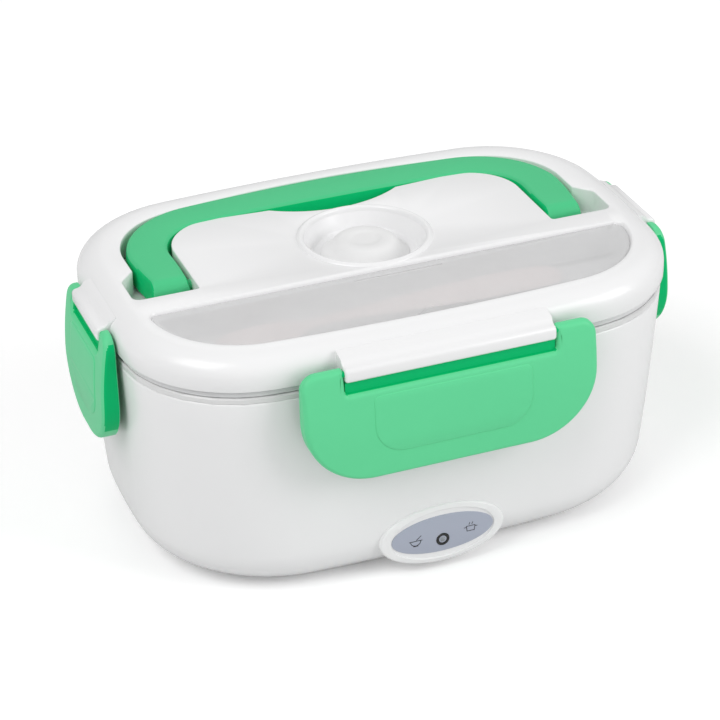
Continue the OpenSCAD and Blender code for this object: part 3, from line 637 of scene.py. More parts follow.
@dataclass(frozen=True)
class Speckled:
    """A matte finish with fine grains of two colours, for rubber, board and insulation.

    Args:
        name: The finish's name.
        colour: Its main colour in linear light.
        speck: The colour of its grains.
        rough: Its mean roughness.
        per_metre: Grains in a metre.
    """

    name: str
    colour: Colour
    speck: Colour
    rough: float = 0.6
    per_metre: float = 1400.0

    def make(self) -> bpy.types.Material:
        """Builds the material."""
        g = Graph(self.name)
        grain = g.noise(self.per_metre, 3.0, 0.6)
        g.set(Base_Color=g.tint(grain ** 2.0, self.colour, self.speck),
              Roughness=g.between(grain, self.rough * 0.85, min(1.0, self.rough * 1.15)),
              Normal=g.bump(grain, 0.00003, 0.5))
        return g.material


class Finish(Enum):
    """Every finish on the box."""

    WHITE = Moulded("white_plastic", (0.86, 0.86, 0.865), 0.2, 0.3, drift=0.008)
    LINER = Moulded("liner_plastic", (0.72, 0.72, 0.72), 0.26, 0.36, drift=0.01)
    STRIP = Milky("tray_plastic", (0.8, 0.805, 0.81), 0.1, 0.3)
    GREEN = Moulded("green_plastic", (0.13, 0.67, 0.32), 0.3, 0.4, texture=0.000008, drift=0.03,
                    shine=0.15)
    BAIL = Moulded("handle_plastic", (0.08, 0.56, 0.25), 0.3, 0.4, texture=0.000008, drift=0.03,
                   shine=0.1)
    # Painted shade: a darker, more saturated green put on the handle's sides and on the clips'
    # notches and end sides, where shade falls; it is not a second colour of the plastic.
    GREEN_DEEP = Moulded("green_plastic_painted_shade", (0.002, 0.5, 0.16), 0.3, 0.4, texture=0.000008,
                         drift=0.03, shine=0.08)
    GREEN_PALE = Moulded("cup_cover_plastic", (0.42, 0.78, 0.56), 0.3, 0.4, drift=0.02)
    FROST = Milky("frosted_cover", (0.87, 0.87, 0.875), 0.0, 0.3, veil=0.42)
    CUP = Milky("cup_plastic", (0.86, 0.88, 0.9), 0.5, 0.25)
    PINK = Moulded("spoon_plastic", (0.88, 0.76, 0.75), 0.3, 0.4, drift=0.01)
    SILICONE = Milky("plug_silicone", (0.62, 0.62, 0.615), 0.15, 0.35)
    SEAL = Speckled("seal_silicone", (0.72, 0.72, 0.73), (0.78, 0.78, 0.79), 0.55)
    FOOT = Speckled("foot_rubber", (0.11, 0.11, 0.112), (0.17, 0.17, 0.17), 0.75)
    ALUMINIUM = Metal("plate_aluminium", (0.78, 0.79, 0.8), 0.32)
    HEATER = Metal("heater_aluminium", (0.66, 0.67, 0.68), 0.4, (1.0, 0.05, 1.0))
    STEEL = Metal("plated_steel", (0.62, 0.62, 0.64), 0.28)
    NICKEL = Metal("nickel_pin", (0.8, 0.78, 0.74), 0.15, (1.0, 0.1, 1.0))
    FILM = Speckled("amber_film", (0.45, 0.2, 0.03), (0.6, 0.3, 0.06), 0.35)
    SOCKET = Moulded("socket_plastic", (0.78, 0.78, 0.76), 0.35, 0.45)
    FUSE = Speckled("fuse_lacquer", (0.42, 0.3, 0.17), (0.5, 0.38, 0.24), 0.4)
    BROWN = Speckled("brown_insulation", (0.12, 0.05, 0.025), (0.16, 0.07, 0.04), 0.45)
    BLUE = Speckled("blue_insulation", (0.03, 0.1, 0.42), (0.05, 0.14, 0.5), 0.45)
    RED = Speckled("red_insulation", (0.45, 0.02, 0.02), (0.55, 0.05, 0.04), 0.45)
    BOARD = Speckled("solder_mask", (0.01, 0.12, 0.04), (0.02, 0.18, 0.07), 0.35)
    BLACK = Moulded("black_gloss", (0.012, 0.012, 0.013), 0.12, 0.2)
    LENS = Milky("lamp_lens", (0.55, 0.58, 0.62), 0.5, 0.12)
    PRINT = Moulded("printed_film", (0.4, 0.43, 0.52), 0.24, 0.34, texture=0.000006, drift=0.02)
    INK = Speckled("dark_ink", (0.03, 0.03, 0.035), (0.05, 0.05, 0.055), 0.5)

    def material(self) -> bpy.types.Material:
        """The finish's material, made once."""
        return bpy.data.materials.get(self.value.name) or self.value.make()


def dress(piece: bpy.types.Object, finish: Finish) -> None:
    """Gives a piece one finish all over."""
    piece.data.materials.clear()
    piece.data.materials.append(finish.material())


def shade(piece: bpy.types.Object, finish: Finish,
          picks: Callable[[Vector, Vector], bool]) -> None:
    """Gives the faces that a test picks by normal and centre a finish of their own; the script uses
    it to paint shade with a darker green.
    """
    piece.data.materials.append(finish.material())
    for face in piece.data.polygons:
        if picks(face.normal, face.center):
            face.material_index = len(piece.data.materials) - 1


def deliver(piece: bpy.types.Object, finish: Finish, body: str, slot: str,
            *nodes: str) -> None:
    """Finishes a new piece and hands it over.

    Args:
        piece: The object, at the origin.
        finish: Its finish.
        body: The body that it rides on.
        slot: Not used.
        *nodes: The solids that it stands for.
    """
    dress(piece, finish)
    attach(piece, body)
    if nodes:
        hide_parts(*nodes)
    log.info("%s: %d faces on %s", piece.name, len(piece.data.polygons), body)


# ---------------------------------------------------------------- the tub


@dataclass
class Tub:
    """The lower housing: a barrel-shaped wall, and the boss that frames the panel.

    Args:
        wall: Thickness of the wall.
        foot_round: Radius of the rounding at its foot.
        foot_low: Height where that rounding would reach the level.
        barrel: How the wall swells; less than 1 swells low down.
        boss: Half length and half height of the panel boss.
        boss_z: Height of the boss's middle.
        boss_y: Front of the boss.
    """

    wall: float = 2.2
    foot_round: float = 18.0
    foot_low: float = 1.2
    barrel: float = 0.63
    boss: Point = (25.7, 12.8)
    boss_z: float = 16.4
    boss_y: float = -72.4

    def plan(self, z: float) -> OvalPlan:
        """The wall's plan at a height."""
        return FOOT.towards(RIM, (max(z, 0.0) / SEAM) ** self.barrel)

    def foot(self, degrees: float) -> tuple[OvalPlan, float]:
        """The plan and height at an angle of the foot's rounding."""
        a = math.radians(degrees)
        z = self.foot_low + self.foot_round * (1 - math.cos(a))
        return self.plan(z).inset(self.foot_round * (1 - math.sin(a))), z

    def shell(self) -> None:
        """The outer shell, with the ledges for the clips."""
        work = Former()
        levels = [self.foot(a) for a in (25, 32, 40, 48, 56, 64, 73, 82, 90)]
        levels += [(self.plan(z), z) for z in (26, 34, 43, 52, 61, 70, 79, 88.2)]
        levels += [(RIM.inset(0.1), 88.7), (RIM.inset(0.4), SEAM), (RIM.inset(self.wall), SEAM)]
        levels += [(self.plan(z).inset(self.wall), z) for z in (75, 50, 25)]
        levels += [(p.inset(self.wall), z + 0.6) for p, z in map(self.foot, (60, 40, 25))]
        first = ring = work.draw(levels[0][0].outline(), levels[0][1])
        for plan, z in levels[1:]:
            ring = work.bridge(ring, work.draw(plan.outline(), z))
        work.bridge(ring, first)
        work.block((60, 4.6, 2), (0, -75.1, 87.2), 0.4)
        for side in (-1, 1):
            work.block((4.6, 28, 2), (side * 108.7, 0, 87.2), 0.4)
        deliver(work.object("tub_shell", 40), Finish.WHITE, "base", "shell_white", "body_shell")

    def panel_boss(self) -> None:
        """The oval swelling on the front that frames the printed panel."""
        work = Former()
        long, high = self.boss
        ring = first = work.draw(circle((0, 0), long, 96), -7.0)
        ring = work.push(ring, 0, 6.0)
        ring = work.round_over(ring, -1.0, 1.0, 5)
        ring = work.push(ring, -3.0, 0.25)
        ring = work.push(ring, -0.3, -0.1)
        ring = work.push(ring, -0.1, -0.5)
        work.cap(ring)
        work.cap(first)
        work.stand(Matrix.Diagonal((1.0, high / long, 1.0, 1.0)))
        work.stand(placed((0, self.boss_y, self.boss_z), "X", 90))
        deliver(work.object("panel_boss"), Finish.WHITE, "base", "shell_white")

    def build(self) -> None:
        """Makes the housing's pieces."""
        self.shell()
        self.panel_boss()


@dataclass
class Tray:
    """The food tray, whose flange shows as a strip under the lid.

    Args:
        low: Underside of the tray.
        flange: Underside of the tray's flange.
        top: Top of the tray's flange.
        inset_top: Inset of the tray's outside from the lid's plan, at its flange.
        inset_low: The same at its floor.
        corner: Radius between floor and wall.
    """

    low: float = 27.1
    flange: float = 91.6
    top: float = 94.2
    inset_top: float = 7.6
    inset_low: float = 13.6
    corner: float = 10.0

    def inset(self, z: float) -> float:
        """Inset of the tray's outside at a height."""
        t = (z - self.low) / (self.flange - self.low)
        return self.inset_low + (self.inset_top - self.inset_low) * t

    def foot(self, low: float, radius: float, extra: float,
             angles: Iterable[float]) -> list[tuple[float, float]]:
        """Inset and height round the edge of a floor."""
        found = []
        for degrees in angles:
            a = math.radians(degrees)
            base = self.inset(low + radius) + extra
            found.append((base + radius * (1 - math.sin(a)), low + radius * (1 - math.cos(a))))
        return found

    def loft(self, levels: Sequence[tuple[float, float]]) -> Former:
        """A closed vessel from (inset, height) pairs, from its underside round to its floor."""
        work = Former()
        first = ring = work.draw(LID.inset(levels[0][0]).outline(), levels[0][1])
        for (d0, z0), (d1, z1) in zip(levels, levels[1:]):
            ring = work.push(ring, d0 - d1, z1 - z0)
        work.cap(first)
        work.cap(ring)
        return work

    def build(self) -> None:
        """Makes the lift-out tray with its divider, which is narrower at the rounded foot."""
        up, down = (0, 22, 45, 67, 90), (90, 67, 45, 22, 0)
        t = 1.6
        levels = self.foot(self.low, self.corner, 0, up)
        levels += [(self.inset_top, self.flange), (2.2, self.flange), (1.9, self.flange + 0.15),
                   (1.8, self.flange + 0.5), (1.8, self.top - 0.7), (1.95, self.top - 0.2),
                   (2.4, self.top), (8.2, self.top), (8.8, self.top - 0.3), (9.0, self.top - 1.0)]
        levels += self.foot(self.low + t, self.corner, t, down)
        work = self.loft(levels)
        ledge = LID.inset(self.inset(84.0) + 0.9)
        half = ledge.half_w - 6.5
        for reach, low, high in ((half - 4.6, 28.0, 32.0), (half, 31.6, 84.0)):
            work.block((t, 2 * reach, high - low), (34.8, 0, (low + high) / 2), 0.5)
        deliver(work.object("tray"), Finish.STRIP, "tray", "tray_clear", "food_tray")


# ---------------------------------------------------------------- the lid


@dataclass
class Lid:
    """The lid: skirt, rounded edge, handle channel, spoon bay, steam well and clip lips.

    Args:
        skirt: Lower edge of the skirt.
        edge: Width and height of the rounded edge.
        channel_floor: Height of the handle channel's floor.
        bay_back: Y of the spoon bay's straight side.
        well: Centre of the steam well.
        skin: Thickness of the moulding.
    """

    skirt: float = 94.5
    edge: Point = (10.4, 8.0)
    channel_floor: float = 97.8
    bay_back: float = -22.4
    well: Point = (0.0, 5.1)
    skin: float = 2.0

    def channel(self) -> Outline:
        """The channel that the handle lies in, with its hinge pockets and finger scoop."""
        front, wide, slim, pocket = -11.6, 92.6, 72.5, 98.8
        outer_c, outer_r, outer_sweep = (60.6, 24.0), 32.0, 80.0
        inner_c, inner_r, inner_sweep = (51.5, 21.5), 21.0, 86.0
        out_end = around(outer_c, outer_r, outer_sweep)
        scoop_c, scoop_r = (0.0, 79.0), 47.0
        lip_y = 40.6
        scoop_x = math.sqrt(scoop_r ** 2 - (scoop_c[1] - lip_y) ** 2)
        scoop_half = math.degrees(math.asin(scoop_x / scoop_r))
        in_end = around(inner_c, inner_r, inner_sweep)
        mirror = lambda p: (-p[0], p[1])
        return Outline((slim + 1.5, front), (
            Line((pocket - 3.5, front)), Arc((pocket - 3.5, front + 3.5), 90.0, 6),
            Line((pocket, 3.6)), Arc((pocket - 5.0, 3.6), 52.0, 6),
            Line((wide, 12.2)), Line((wide, outer_c[1])), Arc(outer_c, outer_sweep, 18),
            bow(out_end, mirror(out_end), 6.0, 20),
            Arc(mirror(outer_c), outer_sweep, 18),
            Line((-wide, 12.2)), Line(mirror(around((pocket - 5.0, 3.6), 5.0, 52.0))),
            Arc((5.0 - pocket, 3.6), 52.0, 6),
            Line((-pocket, front + 3.5)), Arc((3.5 - pocket, front + 3.5), 90.0, 6),
            Line((-slim - 1.5, front)), Arc((-slim - 1.5, front + 1.5), 90.0, 4),
            Line((-slim, inner_c[1])), Arc(mirror(inner_c), -inner_sweep, 14),
            Line((-scoop_x, lip_y)), Arc(scoop_c, 2 * scoop_half, 24),
            Line(in_end), Arc(inner_c, -inner_sweep, 14),
            Line((slim, front + 1.5)), Arc((slim + 1.5, front + 1.5), 90.0, 4),
        ))

    def bay(self) -> Outline:
        """The spoon bay: the front of an oval, cut off straight at the back."""
        plan = OvalPlan(98.4, 63.5, 37.8, 871.0, 384.0)
        cx, cy = plan.corner()
        a2 = plan.angles()[1]
        end_x, side_y = plan.half_l - plan.end_r, plan.half_w - plan.side_r
        tip = 4.0
        y = -self.bay_back + tip
        x = end_x + math.sqrt((plan.end_r - tip) ** 2 - y * y)
        a0 = math.degrees(math.atan2(y, x - end_x))
        near, far = (x, -y), (-x, -y)
        corner = a2 - a0
        return Outline((x, self.bay_back), (
            Line((-x, self.bay_back)),
            Arc(far, 90 + a0, 8),
            Arc((-cx, -cy), corner, 16),
            Arc((0.0, -side_y), 2 * (90 - a2), 16),
            Arc((cx, -cy), corner, 16),
            Arc(near, 90 + a0, 8),
        ))

    def top_skin(self) -> bpy.types.Object:
        """The visible moulding as one sheet, from skirt to every pocket's floor."""
        work = Former()
        ring = work.draw(LID.inset(0.5).outline(), self.skirt)
        ring = work.push(ring, 0.3, 0.15)
        ring = work.push(ring, 0.2, 0.45)
        ring = work.push(ring, 0.0, TOP - self.edge[1] - self.skirt - 0.6)
        ring = work.round_over(ring, -self.edge[0], self.edge[1], 12)

        soft = 0.5
        channel = work.shift(work.draw(self.channel(), TOP), 0.2)
        down = work.round_over(channel, -soft, -soft, 4, outward_first=True)
        down = work.push(down, 0, self.channel_floor + 1.0 - TOP + soft)
        down = work.round_over(down, -1.0, -1.0, 3)
        work.web(down)

        broad = 2.0
        bay = work.draw(self.bay(), TOP)
        down = work.round_over(bay, -broad * 0.55, -broad, 6, outward_first=True)
        down = work.push(down, -0.2, -0.4)
        down = work.push(down, -2.2, 0)
        down = work.push(down, -0.5, -9.6)
        down = work.round_over(down, -1.5, -1.5, 4)
        work.web(down)

        hole = work.draw(circle(self.well, 25.2), TOP)
        down = work.push(hole, -0.9, -0.4)
        down = work.push(down, -0.6, -1.6)
        down = work.push(down, -2.2, -4.6)
        down = work.round_over(down, -1.2, -1.2, 4)
        hub = work.draw(circle(self.well, 2.9, 24), TOP - 7.8)
        work.web(down, hub)
        work.push(hub, 0, -0.4)

        work.web(ring, channel, bay, hole)
        return work.object("lid_moulding", sheet=True)

    def moulding(self) -> None:
        """The lid's moulding with its wall thickness."""
        piece = self.top_skin()
        wall = piece.modifiers.new("wall", "SOLIDIFY")
        wall.thickness = self.skin * MM
        wall.offset = -1.0
        deliver(piece, Finish.WHITE, "lid", "shell_white", "lid")

    def collar(self) -> None:
        """The raised bead round the steam well, and the seat of the gasket below."""
        work = Former()
        bead = [(24.0, -1.2), (24.1, 0.0), (24.35, 0.5), (24.8, 0.78), (25.3, 0.85),
                (25.8, 0.75), (26.4, 0.4), (26.9, -0.1), (27.1, -0.8), (24.0, -1.2)]
        work.turned(bead, (*self.well, TOP), 96)
        low = ring = work.draw(LID.inset(1.6).outline(), 98.2)
        for grow, rise in ((-5.8, 0), (0, -2.9), (-0.3, -0.2), (-1.2, 0), (-0.3, 0.2), (0, 4.6)):
            ring = work.push(ring, grow, rise)
        ring = work.push(ring, 7.6, 0)
        work.bridge(ring, low)
        deliver(work.object("lid_collar"), Finish.WHITE, "lid", "shell_white")

    def lips(self) -> None:
        """The three lips that carry the clips, each a rounded bar with a step along its top."""
        work = Former()
        for half, depth, out, turn in ((41.5, 8.0, 80.5, 0), (17.4, 5.4, 112.9, -90),
                                       (17.4, 5.4, 112.9, 90)):
            part = Former()
            self.lip(part, half, depth)
            part.stand(placed((0, 0, 0), "Z", turn) @ Matrix.Translation((0, -out, 100.2)))
            mesh = bpy.data.meshes.new("lip")
            part.bm.to_mesh(mesh)
            part.bm.free()
            work.bm.from_mesh(mesh)
            bpy.data.meshes.remove(mesh)
        deliver(work.object("lid_lips", 50), Finish.WHITE, "lid", "shell_white")

    @staticmethod
    def lip(work: Former, half: float, root: float) -> None:
        """One lip, along X, with its hinge axis at the origin: a bar with rounded edges."""
        section = [(root, -3.1), (-1.1, -3.1)]
        section += [around((-1.1, -1.7), 1.4, a) for a in (255, 240, 225, 210, 195, 180)]
        section += [around((-0.7, 0.75), 1.8, a) for a in (180, 162, 144, 126, 108, 96)]
        section += [(0.2, 2.75), (1.0, 3.05), (1.8, 3.6), (2.6, 4.4), (root, 5.6)]
        slim = ((0.0, 0.9), (0.12, 0.5), (0.4, 0.18), (0.9, 0.0))
        stations = [(-half + x, less) for x, less in slim]
        stations += [(half - x, less) for x, less in reversed(slim)]
        along_x = Matrix(((0, 0, 1, 0), (1, 0, 0, 0), (0, 1, 0, 0), (0, 0, 0, 1)))
        ends = []
        for x, less in stations:
            points = []
            for y, z in section:
                inward = Vector((-y, -z)).normalized() * less if y < 2.0 else Vector((0.0, 0.0))
                points.append((y + inward.x, z + inward.y))
            strokes = tuple(Line(point) for point in points[1:] + points[:1])
            ring = work.draw(Outline(points[0], strokes), x)
            bmesh.ops.transform(work.bm, matrix=along_x, verts=ring)
            ends.append(ring)
        for a, b in zip(ends, ends[1:]):
            work.bridge(a, b)
        work.cap(ends[0])
        work.cap(ends[-1])

    def build(self) -> None:
        """Makes the lid's pieces."""
        self.moulding()
        self.collar()
        self.lips()


# ---------------------------------------------------------------- what the lid carries


@dataclass
class LidFittings:
    """The steam plug, the spoon bay's cover and the spoon."""

    lid: Lid

    def plug(self) -> None:
        """The soft steam plug: a dome with a dimple, on a barbed stem."""
        work = Former()
        work.turned([
            (0.0, 92.2), (2.4, 92.2), (3.0, 92.6), (3.7, 93.1), (3.7, 93.4), (2.8, 93.4),
            (2.8, 104.4), (8.4, 105.2), (9.5, 104.9), (12.0, 103.4), (14.3, 101.6), (15.2, 100.4),
            (17.1, 100.4), (17.35, 100.5), (17.35, 100.8), (17.0, 101.0), (15.8, 101.5),
            (14.8, 102.4), (13.4, 104.3), (12.2, 105.7), (11.2, 106.5), (10.2, 106.9), (9.2, 107.0),
            (6.9, 107.0), (6.3, 106.85), (5.6, 106.55), (4.0, 106.5), (0.0, 106.5),
        ], (*self.lid.well, 0.0), 96)
        deliver(work.object("steam_plug"), Finish.SILICONE, "vent_plug", "plug_silicone",
                "vent_plug")

    def cover(self) -> None:
        """The frosted cover of the spoon bay, with its finger notch and its slot."""
        work = Former()
        low, top = 105.8, 107.0
        under = work.shift(work.draw(self.lid.bay(), low), -1.6)
        ring = work.push(under, 0.2, 0.2)
        ring = work.push(ring, 0.1, top - low - 0.5)
        ring = work.round_over(ring, -0.3, 0.3, 3)
        notch = work.draw(self.notch(), top)
        slot = work.draw(rounded_box((-17.0, -27.9), (19.0, -27.2), 0.3, 3), top)
        work.web(ring, notch, slot)
        down = work.push(notch, -0.3, -0.15)
        down = work.push(down, -0.3, -0.5)
        work.web(down)
        work.web(work.push(slot, 0, -0.5))
        work.web(under)
        deliver(work.object("spoon_bay_cover"), Finish.FROST, "spoon_cover", "cover_frost",
                "spoon_cover")

    @staticmethod
    def notch() -> Outline:
        """The crescent at the cover's front edge where a fingertip lifts it."""
        a, b = (-6.0, -62.0), (18.0, -62.0)
        return Outline(a, (bow(a, b, 1.1, 10), bow(b, a, 5.4, 14)))

    def spoon(self) -> None:
        """The spoon, smoothed from its solid."""
        work = Former()
        work.bm.from_mesh(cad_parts["spoon"].data)
        bmesh.ops.scale(work.bm, vec=(1 / MM,) * 3, verts=work.bm.verts[:])
        bmesh.ops.remove_doubles(work.bm, verts=work.bm.verts[:], dist=0.01)
        piece = work.object("spoon_body", 180)
        soft = piece.modifiers.new("soft", "SUBSURF")
        soft.levels = soft.render_levels = 2
        deliver(piece, Finish.PINK, "spoon", "spoon_pink", "spoon")

    def build(self) -> None:
        """Makes the three fittings."""
        self.plug()
        self.cover()
        self.spoon()


@dataclass
class Handle:
    """The folding handle: two arms, round turns and a slightly bowed bar.

    Args:
        arm_x: Middle of an arm.
        arm_w: Width of an arm.
        bar_w: Width of the bar at its middle.
        height: Height of the section.
        flare: How much wider the section is at its foot, as a share.
        soft: Radius of the section's edges.
        pivot: Y and Z of the pivots.
        turn_centre: Centre of the right turn.
        turn_sweep: Degrees that the turn goes round.
        bar_y: Y of the bar's middle.
        bar_r: Radius that the bar is bowed to.
    """

    arm_x: float = 82.7
    arm_w: float = 15.8
    bar_w: float = 17.6
    height: float = 10.0
    flare: float = 0.11
    soft: float = 1.5
    pivot: Point = (1.0, 103.6)
    turn_centre: Point = (54.3, 20.7)
    turn_sweep: float = 85.3
    bar_y: float = 51.3
    bar_r: float = 690.9

    def section(self, work: Former, width: float, y: float) -> Ring:
        """A rounded section across the right arm at one y."""
        a, b = width / 2, self.height / 2
        ring = work.draw(rounded_box((-a, -b), (a, b), self.soft, 4), 0.0)
        bmesh.ops.transform(work.bm, matrix=placed((self.arm_x, y, self.pivot[1]), "X", 90),
                            verts=ring)
        for v in ring:
            depth = (self.pivot[1] + b - v.co.z) / self.height
            v.co.x = self.arm_x + (v.co.x - self.arm_x) * (1 + self.flare * depth)
        return ring

    @staticmethod
    def spin(work: Former, ring: Ring, centre: Point, degrees: float, steps: int) -> Ring:
        """Sweeps a section round an upright axis, and returns the last one."""
        for _ in range(steps):
            ring = work.extrude(ring)
            bmesh.ops.rotate(work.bm, verts=ring, cent=(*centre, 0.0),
                             matrix=Matrix.Rotation(math.radians(degrees / steps), 3, "Z"))
        return ring

    @staticmethod
    def extend(work: Former, ring: Ring, y: float) -> Ring:
        """Sweeps a section straight on to another y."""
        ring = work.extrude(ring)
        for v in ring:
            v.co.y = y
        return ring

    def build(self) -> None:
        """Makes the handle."""
        work = Former()
        py, pz = self.pivot
        r = self.height / 2
        ring = first = self.section(work, self.arm_w, py)
        for y in (py + 6.0, py + 12.0, self.turn_centre[1]):
            ring = self.extend(work, ring, y)
        ring = self.spin(work, ring, self.turn_centre, self.turn_sweep, 18)
        past_middle = 0.3
        self.spin(work, ring, (0.0, self.bar_y - self.bar_r),
                  90.0 - self.turn_sweep + past_middle, 8)
        self.shape_bar(work)
        self.round_end(work, first, r)
        bmesh.ops.bisect_plane(work.bm, geom=work.everything(), plane_co=(0, 0, 0),
                               plane_no=(-1, 0, 0), clear_outer=True)
        bmesh.ops.mirror(work.bm, geom=work.everything(), matrix=Matrix.Identity(4),
                         merge_dist=0.01, axis="X")
        for side in (-1, 1):
            work.pin((side * 74.1, py, pz), 2.0, 7.4, 24)
        piece = work.object("carry_handle", 45)
        deliver(piece, Finish.BAIL, "handle", "clip_green", "handle")
        # Painted shade: the handle's upright sides, all but the faces at its front ends, get a
        # darker green that stands in for shade.
        shade(piece, Finish.GREEN_DEEP,
              lambda n, c: abs(n.z) < 0.6 and (n.y > -0.7 or c.y > 20.0 * MM))

    def shape_bar(self, work: Former) -> None:
        """Widens the bar towards its middle, and slims the arms towards their pivots."""
        for v in work.bm.verts:
            if v.co.y > 38.0 and v.co.x < 56.0:
                middle = self.bar_y - 2.3 * (v.co.x / 56.6) ** 2
                grow = 1 + (self.bar_w / self.arm_w - 1) * (1 - max(v.co.x, 0.0) / 56.0)
                v.co.y = middle + (v.co.y - middle) * grow
            elif v.co.y < 19.0:
                t = min(1.0, (19.0 - v.co.y) / 18.0)
                v.co.x = self.arm_x - t + (v.co.x - self.arm_x) * (1 - 0.12 * t * t)

    def round_end(self, work: Former, ring: Ring, r: float) -> None:
        """Rounds an arm's end over about its pivot."""
        py, pz = self.pivot
        steps = 8
        for k in range(1, steps):
            a = math.pi / 2 * k / steps
            ring = work.extrude(ring)
            before = math.cos(math.pi / 2 * (k - 1) / steps)
            for v in ring:
                v.co.y = py - r * math.sin(a)
                v.co.z = pz + (v.co.z - pz) * math.cos(a) / before
        work.cap(ring)


@dataclass(frozen=True)
class Clip:
    """A snap clip: a bowed slab with two ears, a raised panel, a hook and hinge stubs.

    It is drawn as seen from the front, with its hinge axis through the origin.

    Args:
        name: What it is called.
        half: Half of its width.
        notch: Half of the notch that the lip fills.
        low: Height of its lower edge from the axis.
        corner: Radius of its lower corners.
        face: How far its face stands out from the axis.
        panel: Half of the raised panel's width.
        hook: Half length of its hook, and how far that reaches in.
        turn: Turn about Z from the front, in degrees.
        out: Distance of its hinge axis from the middle.
        ear_top: Height of its ears over the axis.
        ear_r: Radius of the ears' outer corners.
        drop: Height of the notch's floor from the axis.
        back: How far its back lies behind the axis.
        edge: Radius of the rounding round its face.
        wall: Thickness of its wall.
        axis_z: Height of the axis.
        belly: Height from the axis where the face starts to lean in, and its radius there.
        painted_shade_sides: Whether its sides get the darker green that paints shade on them.
    """

    name: str
    half: float
    notch: float
    low: float
    corner: float
    face: float
    panel: float
    hook: Point
    turn: float
    out: float

    ear_top: float = 2.0
    ear_r: float = 6.0
    drop: float = -7.7
    back: float = 1.9
    edge: float = 1.9
    wall: float = 2.2
    axis_z: float = 100.2
    belly: Point = (-30.2, 150.0)
    painted_shade_sides: bool = True

    def outline(self) -> Outline:
        """The whole clip."""
        w, n, big, ear, tip, soft = self.half, self.notch, self.corner, self.ear_r, 1.2, 1.5
        top, drop, low = self.ear_top, self.drop, self.low
        return Outline((w - big, low), (
            Arc((w - big, low + big), 90.0, 18),
            Line((w, drop)), Line((w, top - ear)), Arc((w - ear, top - ear), 90.0, 10),
            Line((n + tip, top)), Arc((n + tip, top - tip), 90.0, 5),
            Line((n, drop + soft)), Arc((n - soft, drop + soft), -90.0, 5),
            Line((-n + soft, drop)), Arc((-n + soft, drop + soft), -90.0, 5),
            Line((-n, top - tip)), Arc((-n - tip, top - tip), 90.0, 5),
            Line((-w + ear, top)), Arc((-w + ear, top - ear), 90.0, 10),
            Line((-w, drop)), Line((-w, low + big)), Arc((-w + big, low + big), 90.0, 18),
            Line((w - big, low)),
        ))

    @staticmethod
    def bag(half: float, low: float, high: float, big: float, soft: float) -> Outline:
        """A level-topped outline with big lower corners and small upper ones."""
        return Outline((half - big, low), (
            Arc((half - big, low + big), 90.0, 16), Line((half, high - soft)),
            Arc((half - soft, high - soft), 90.0, 5), Line((-half + soft, high)),
            Arc((-half + soft, high - soft), 90.0, 5), Line((-half, low + big)),
            Arc((-half + big, low + big), 90.0, 16), Line((half - big, low)),
        ))

    def lean(self, work: Former) -> None:
        """Cuts the work into level bands, and leans its face in above the belly."""
        start, radius = self.belly
        bands, band = 14, 2.2
        for k in range(1, bands + 1):
            bmesh.ops.bisect_plane(work.bm, geom=work.everything(), dist=0.01,
                                   plane_no=(0, 1, 0), plane_co=(0, start + band * k, 0))
        for v in work.bm.verts:
            share = min(1.0, max(0.0, v.co.z) / (self.face - self.edge))
            v.co.z -= share * max(0.0, v.co.y - start) ** 2 / (2 * radius)

    def build(self) -> None:
        """Makes the clip."""
        work = Former()
        ring = work.draw(self.outline(), 0.3 - self.back)
        rear = work.push(ring, -0.3, -0.3)
        hollow = work.draw(self.bag(self.half - self.wall, self.low + self.wall,
                                    self.drop - self.wall, self.corner - self.wall, 2.0),
                           -self.back)
        work.web(rear, hollow)
        floor = work.push(hollow, -0.2, self.face - self.wall + self.back - 0.3)
        work.web(work.push(floor, -0.4, 0.3))
        ring = work.push(ring, 0, self.face - self.edge + self.back - 0.3)
        ring = work.round_over(ring, -self.edge, self.edge, 8)
        panel = work.draw(self.bag(self.panel, self.low + 10.0, -10.0, 12.0, 2.5), self.face)
        work.web(ring, panel)
        raised = work.push(panel, -0.15, 0.2)
        raised = work.push(raised, -0.25, 0.1)
        work.web(raised)
        self.lean(work)
        self.works(work)
        work.stand(placed((0, 0, 0), "X", 90))
        work.stand(placed((0, 0, 0), "Z", self.turn)
                   @ Matrix.Translation((0, -self.out, self.axis_z)))
        piece = work.object(self.name + "_snap", 40)
        deliver(piece, Finish.GREEN, self.name, "clip_green", self.name)
        # Painted shade: the notch under the lip, and the end sides where asked, get a darker green.
        shade(piece, Finish.GREEN_DEEP, self.in_painted_shade)

    def in_painted_shade(self, normal: Vector, centre: Vector) -> bool:
        """Tells whether a face gets the painted shade: it lies in the notch under the lip, or on a
        side of a clip at an end.
        """
        notch_z = (self.axis_z + self.drop) * MM
        turn = math.radians(self.turn)
        along = Vector((math.cos(turn), math.sin(turn), 0.0))
        in_notch = abs(centre.dot(along)) < (self.notch - 0.2) * MM and centre.z > notch_z - 0.0001
        return in_notch or (self.painted_shade_sides and abs(normal.dot(along)) > 0.8)

    def works(self, work: Former) -> None:
        """Adds the hook's rail, its ribs, the web under the lip and the hinge stubs."""
        half, reach = self.hook
        deep = self.face - 1.0
        work.block((2 * half, 2.6, deep + reach), (0, -15.6, (deep - reach) / 2), 0.5)
        for x in (-half + 1, 0, half - 1):
            work.block((1.6, 22.0, 4.7), (x, -26.7, self.face - 3.85), 0.3)
        under_lip = -3.4
        work.block((2 * self.notch - 0.6, under_lip - self.drop + 0.6, self.back + 1.0),
                   (0, (under_lip + self.drop - 0.6) / 2, (1.0 - self.back) / 2))
        for side in (-1, 1):
            work.pin((side * (self.notch - 1.4), 0, 0), 1.25, 7.0, 20)


